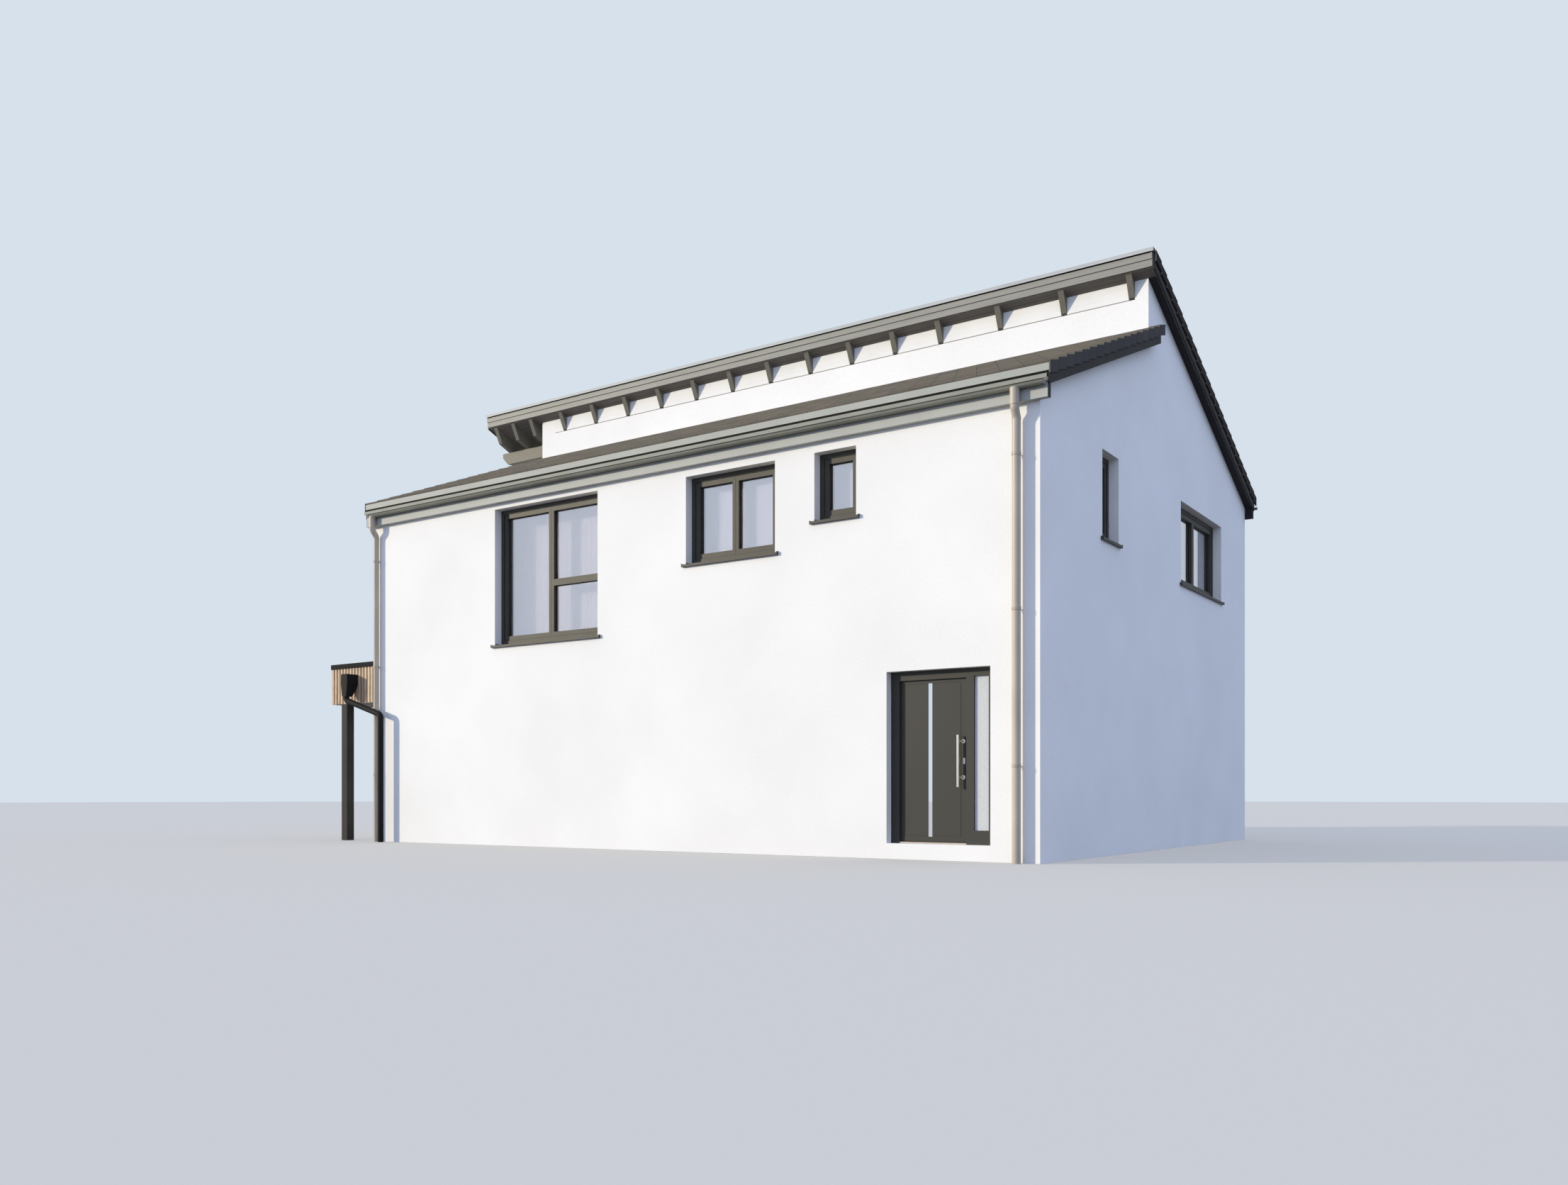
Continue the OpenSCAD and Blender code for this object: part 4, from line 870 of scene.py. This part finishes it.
class HOUSE_OT_panels(bpy.types.Operator):
    """Clads the panels between the rafters with boards that leave fine joints"""

    bl_idname = "house.panels"
    bl_label = "Panel boards"

    def execute(self, context):
        sides = sorted({round(v.co.x, 3) for v in frame["nodes"]["rafters"].data.vertices})
        inner = [x for x in sides if abs(x) < HALF_LEN]
        face, side_gap, joint_half, boards = HIGH_WALL_D - HALF_DEP, 0.002, 0.0002, 3
        foot_gap, head_gap, board_front, board_back, bevel = 0.012, 0.004, 0.0045, 0.0005, 0.0004
        low = soffit_line(HIGH_WALL_D) - RAFTER_H + foot_gap
        top = soffit_line(HIGH_WALL_D) - head_gap
        high = (top - low) / boards
        bm = bmesh.new()
        for x0, x1 in zip(inner[1::2], inner[2::2]):
            for i in range(boards):
                near = (x0 + side_gap, face - board_front, low + i * high + joint_half)
                far = (x1 - side_gap, face - board_back, low + (i + 1) * high - joint_half)
                block(bm, near, far, bevel=bevel)
        piece("panel_boards", bm, "house", None, "panel_board")
        return {"FINISHED"}


# Plate, neck and grip of a sash lever: half width, low, high, back, front and bevel
SASH_LEVER = (
    (0.014, -0.035, 0.035, -0.008, 0, 0.003), (0.008, -0.008, 0.008, -0.045, -0.007, 0.002),
    (0.01, -0.115, 0.01, -0.055, -0.043, 0.004),
)


class HOUSE_OT_fittings(bpy.types.Operator):
    """Puts levers on the sashes' inner side and a lever inside the door"""

    bl_idname = "house.fittings"
    bl_label = "Levers"

    def execute(self, context):
        levers = bmesh.new()
        for side, x, z, width, height, sashes, bar in WINDOWS:
            turn = side_matrix(side) @ Matrix.Translation((x, z, -REVEAL - FRAME_DEP))
            left, _, stile = sashes_of(width, sashes, bar)[-1][:3]
            at, up = left + stile / 2, height / 2
            for half, low, high, back, front, bevel in SASH_LEVER:
                block(levers, (at - half, up + low, back), (at + half, up + high, front), turn, bevel)
        piece("sash_levers", levers, "house", "handle_steel")

        bm = bmesh.new()
        turn = side_matrix("front") @ Matrix.Translation((DOOR_X, DOOR_SILL_Z, 0))
        # A plate, and a neck at (at, up) whose end carries the grip
        at, up, plate, neck_r, neck_len = 1.015, 1.08, FRAME_BACK - 0.008, 0.009, 0.05
        half, below, above, grip_r, grip_len, grip = 0.02, 0.15, 0.05, 0.0095, 0.12, FRAME_BACK - 0.05
        block(bm, (at - half, up - below, plate), (at + half, up + above, FRAME_BACK - 0.0005), turn, 0.003)
        neck = rod(bm, neck_r, (at, up, plate), (at, up, plate - neck_len))
        bar = rod(bm, grip_r, (at + neck_r, up, grip), (at - grip_len, up, grip))
        bmesh.ops.transform(bm, matrix=turn, verts=neck + bar)
        piece("door_inner_lever", bm, "door", "handle_steel")
        return {"FINISHED"}


class HOUSE_OT_seals(bpy.types.Operator):
    """Sets a rubber seal round each pane, outside and inside"""

    bl_idname = "house.seals"
    bl_label = "Window seals"

    def execute(self, context):
        width, seal_t = sizes_of(context).seal_w, 0.004
        bm = bmesh.new()
        for window in WINDOWS:
            side, x, z = window[:3]
            turn = side_matrix(side) @ Matrix.Translation((x, z, 0))
            for x0, y0, x1, y1 in panes_of(window):
                for face in (-REVEAL - GLASS_BACK, -REVEAL - GLASS_BACK - GLASS_T - seal_t):
                    for low, high in (
                        ((x0, y0), (x1, y0 + width)), ((x0, y1 - width), (x1, y1)),
                        ((x0, y0 + width), (x0 + width, y1 - width)),
                        ((x1 - width, y0 + width), (x1, y1 - width)),
                    ):
                        block(bm, (*low, face), (*high, face + seal_t), turn)
        piece("pane_seals", bm, "house", None, "seal")
        return {"FINISHED"}


def fold_out(s, t, folds, phase, deep):
    """How far a gathered curtain stands out at the share s of its width and t of its height."""
    at = s * folds
    k = min(int(at), folds - 1)
    sway = phase[k] * (1 - (at - k)) + phase[k + 1] * (at - k)
    wave = 0.8 * math.sin(math.tau * at + sway) + 0.2 * math.sin(math.pi * at + 3 * sway)
    return wave * (deep * (1.0 - 0.2 * t))


class HOUSE_OT_curtains(bpy.types.Operator):
    """Hangs a gathered voile curtain behind each tall window and a roller blind behind the others"""

    bl_idname = "house.curtains"
    bl_label = "Curtains and blinds"

    def execute(self, context):
        sizes = sizes_of(context)
        rails, tubes, tube_r = bmesh.new(), bmesh.new(), 0.011
        for count, (side, x, z, width, height, _, bar) in enumerate(WINDOWS, 1):
            draw = random.Random(100 + count)
            turn = side_matrix(side)
            gathered = bar > 0
            if gathered:
                # Past the opening on both sides, inside the room, down to just over the floor
                over, depth, top, reach, held_by = 0.08, -WALL_T - 0.06, z + height + 0.06, 0.05, rails
                low = max(z - over, FLOOR_TOP + 0.02 if z > FLOOR_TOP else 0.22)
            else:
                # Within the opening, from a tube under its head to just over its foot
                over, depth, top, reach, held_by = -0.02, -WALL_T + 0.05, z + height - 0.02, 0.0, tubes
                low = z + 0.03
            x0, x1 = x - over, x + width + over
            folds = round((x1 - x0) / sizes.fold) if gathered else 1
            phase = [draw.uniform(-0.6, 0.6) for _ in range(folds + 1)]
            bm = bmesh.new()
            uv = bm.loops.layers.uv.new("UVMap")
            bmesh.ops.create_grid(bm, x_segments=folds * 8, y_segments=8, size=0.5)
            for v in bm.verts:
                s, t = v.co.x + 0.5, v.co.y + 0.5
                out = fold_out(s, t, folds, phase, sizes.fold_deep) if gathered else 0.0
                v.co = Vector((x0 + s * (x1 - x0), low + t * (top - low), depth + out))
            area = sum(f.calc_area() for f in bm.faces)
            for f in bm.faces:
                for loop in f.loops:
                    loop[uv].uv = (loop.vert.co.x - x0, loop.vert.co.y - low)
            bmesh.ops.transform(bm, matrix=turn, verts=bm.verts)
            kind = "curtain" if gathered else "blind"
            made = piece(f"{kind}_{count:02d}", bm, "house", None, kind, open_sheet=True)
            ends = [(x0 - reach, top + tube_r, depth), (x1 + reach, top + tube_r, depth)]
            bmesh.ops.transform(held_by, matrix=turn, verts=rod(held_by, tube_r, *ends))
            for at in (x0 - reach, x1 + reach):
                if gathered:
                    # Bracket back to the wall
                    half, down, up = 0.006, 0.004, 0.026
                    block(rails, (at - half, top - down, depth), (at + half, top + up, -WALL_T), turn, 0.001)
                else:
                    # Holder at the tube's end
                    half, down, up, deep = 0.012, 0.006, 0.02, 0.016
                    near, far = (at - half, top - down, depth - deep), (at + half, top + up, depth + deep)
                    block(rails, near, far, turn)
            if not gathered:
                # Bar in the blind's foot
                down, up, deep = 0.012, 0.002, 0.006
                block(rails, (x0, low - down, depth - deep), (x1, low + up, depth + deep), turn, 0.001)
        piece("curtain_rails", rails, "house", None, "rail")
        piece("blind_tubes", tubes, "house", None, "blind")
        return {"FINISHED"}


class HOUSE_OT_sill_caps(bpy.types.Operator):
    """Closes both ends of each window sill with a folded cap"""

    bl_idname = "house.sill_caps"
    bl_label = "Sill caps"

    def execute(self, context):
        bm = bmesh.new()
        bevel, gap, edge, cap_low, cap_top, upstand_h = 0.0008, 0.0005, 0.002, -0.052, -0.004, 0.014
        for side, x, z, width in (window[:4] for window in WINDOWS):
            turn = side_matrix(side) @ Matrix.Translation((x, z, 0))
            for x0 in (-SILL_SIDE - CAP_T, width + SILL_SIDE):
                block(bm, (x0, cap_low, gap), (x0 + CAP_T, cap_top, SILL_REACH + edge), turn, bevel)
            # Upstands against the reveals
            for x0 in (0.0, width - CAP_T):
                block(bm, (x0, gap, -REVEAL + edge), (x0 + CAP_T, upstand_h, -edge), turn, bevel)
        piece("sill_caps", bm, "house", "sill_metal")
        return {"FINISHED"}


# Nodes whose finish differs from their slot's
NODE_FINISHES = {
    "ridge_fascia": "fascia_board", "ridge_flashing": "flashing", "rafter_infill": "panel_board",
    "eave_boxes": "box_metal", "door_glass_strip": "mirror_glass",
}


class HOUSE_OT_finishes(bpy.types.Operator):
    """Gives every node of the solid model its finish"""

    bl_idname = "house.finishes"
    bl_label = "Finishes"

    def execute(self, context):
        for row in frame["record"]["subparts"]:
            node = frame["nodes"][row["node"]]
            node.data.materials.clear()
            node.data.materials.append(finish(NODE_FINISHES.get(row["node"], row["material_slot"])))
        return {"FINISHED"}


class HOUSE_OT_stage(bpy.types.Operator):
    """Makes the floor, the lamps, the backdrop and the camera"""

    bl_idname = "house.stage"
    bl_label = "Stage"

    def execute(self, context):
        scene, stage = context.scene, context.scene.house_stage
        bm = bmesh.new()
        bmesh.ops.create_circle(bm, cap_ends=True, segments=96, radius=120.0)
        mesh = bpy.data.meshes.new("floor")
        bm.to_mesh(mesh)
        bm.free()
        floor = bpy.data.objects.new("floor", mesh)
        floor.location.z = -0.002
        scene.collection.objects.link(floor)
        # Plain matt floor: the camera sees it a little lighter than lamps make it, and it keeps the shadow
        material, tree = blank("plain_floor")
        matt = add(tree, "BsdfDiffuse", {"Color": tuple(stage.floor)})
        glow = add(tree, "Emission", {"Color": linear("#FFFFFF"), "Strength": 0.22})
        lit = add(tree, "AddShader", {0: matt.outputs[0], 1: glow.outputs[0]})
        dull = add(tree, "BsdfDiffuse", {"Color": tuple(stage.bounce)})
        close(tree, blend(tree, background_rays(tree), dull, lit))
        mesh.materials.append(material)

        world = bpy.data.worlds.new("studio")
        scene.world = world
        world.use_nodes = True
        tree = world.node_tree
        tree.nodes.clear()
        light = add(tree, "Background", {"Color": linear("#CBDCFF"), "Strength": stage.fill})
        shown = add(tree, "Background", {"Color": tuple(stage.backdrop), "Strength": 1.0})
        add(tree, "OutputWorld", {"Surface": blend(tree, background_rays(tree), light, shown)})

        # Soft key from the left of the front, low, as in the photograph
        lamp = bpy.data.lights.new("key", "SUN")
        lamp.energy = stage.key
        lamp.angle = math.radians(3.0)
        lamp.color = (1.0, 0.89, 0.67)
        key = bpy.data.objects.new("key", lamp)
        azimuth, height = math.radians(50), math.radians(16)
        level = math.cos(height)
        to_lamp = Vector((-math.sin(azimuth) * level, -math.cos(azimuth) * level, math.sin(height)))
        key.rotation_mode = "QUATERNION"
        key.rotation_quaternion = to_lamp.to_track_quat("Z", "Y")
        key.location = to_lamp * 30
        scene.collection.objects.link(key)

        # The photograph's viewpoint, with upright edges kept upright by a shift
        camera = bpy.data.cameras.new("camera")
        camera.lens, camera.sensor_width, camera.sensor_fit = 28.16, 36.0, "HORIZONTAL"
        camera.shift_y = 0.1283
        camera.clip_start, camera.clip_end = 0.1, 400.0
        viewer = bpy.data.objects.new("camera", camera)
        viewer.location = (11.920, -18.557, 0.836)
        viewer.rotation_euler = (math.radians(90), 0, math.radians(34.358))
        scene.collection.objects.link(viewer)
        scene.camera = viewer
        scene.view_settings.view_transform = "Standard"
        return {"FINISHED"}


class HOUSE_PT_panel(bpy.types.Panel):
    """The house's pieces in the sidebar"""

    bl_idname = "HOUSE_PT_panel"
    bl_label = "Detached house"
    bl_space_type = "VIEW_3D"
    bl_region_type = "UI"
    bl_category = "House"

    def draw(self, context):
        for group in (context.scene.house_sizes, context.scene.house_stage):
            for name in group.__annotations__:
                self.layout.prop(group, name)
        for operator in OPERATORS:
            self.layout.operator(operator.bl_idname)


OPERATORS = (
    HOUSE_OT_stage,
    HOUSE_OT_finishes,
    HOUSE_OT_front_tiles,
    HOUSE_OT_rear_tiles,
    HOUSE_OT_boarding,
    HOUSE_OT_eave_details,
    HOUSE_OT_gutters,
    HOUSE_OT_ridge_and_verges,
    HOUSE_OT_panels,
    HOUSE_OT_seals,
    HOUSE_OT_fittings,
    HOUSE_OT_curtains,
    HOUSE_OT_sill_caps,
)
CLASSES = (HouseSizes, HouseStage, *OPERATORS, HOUSE_PT_panel)


def register():
    for kind in CLASSES:
        bpy.utils.register_class(kind)
    bpy.types.Scene.house_sizes = bpy.props.PointerProperty(type=HouseSizes)
    bpy.types.Scene.house_stage = bpy.props.PointerProperty(type=HouseStage)


def unregister():
    del bpy.types.Scene.house_sizes
    del bpy.types.Scene.house_stage
    for kind in reversed(CLASSES):
        bpy.utils.unregister_class(kind)


def main():
    register()
    for operator in OPERATORS:
        group, name = operator.bl_idname.split(".")
        getattr(getattr(bpy.ops, group), name)()


if __name__ == "__main__":
    main()
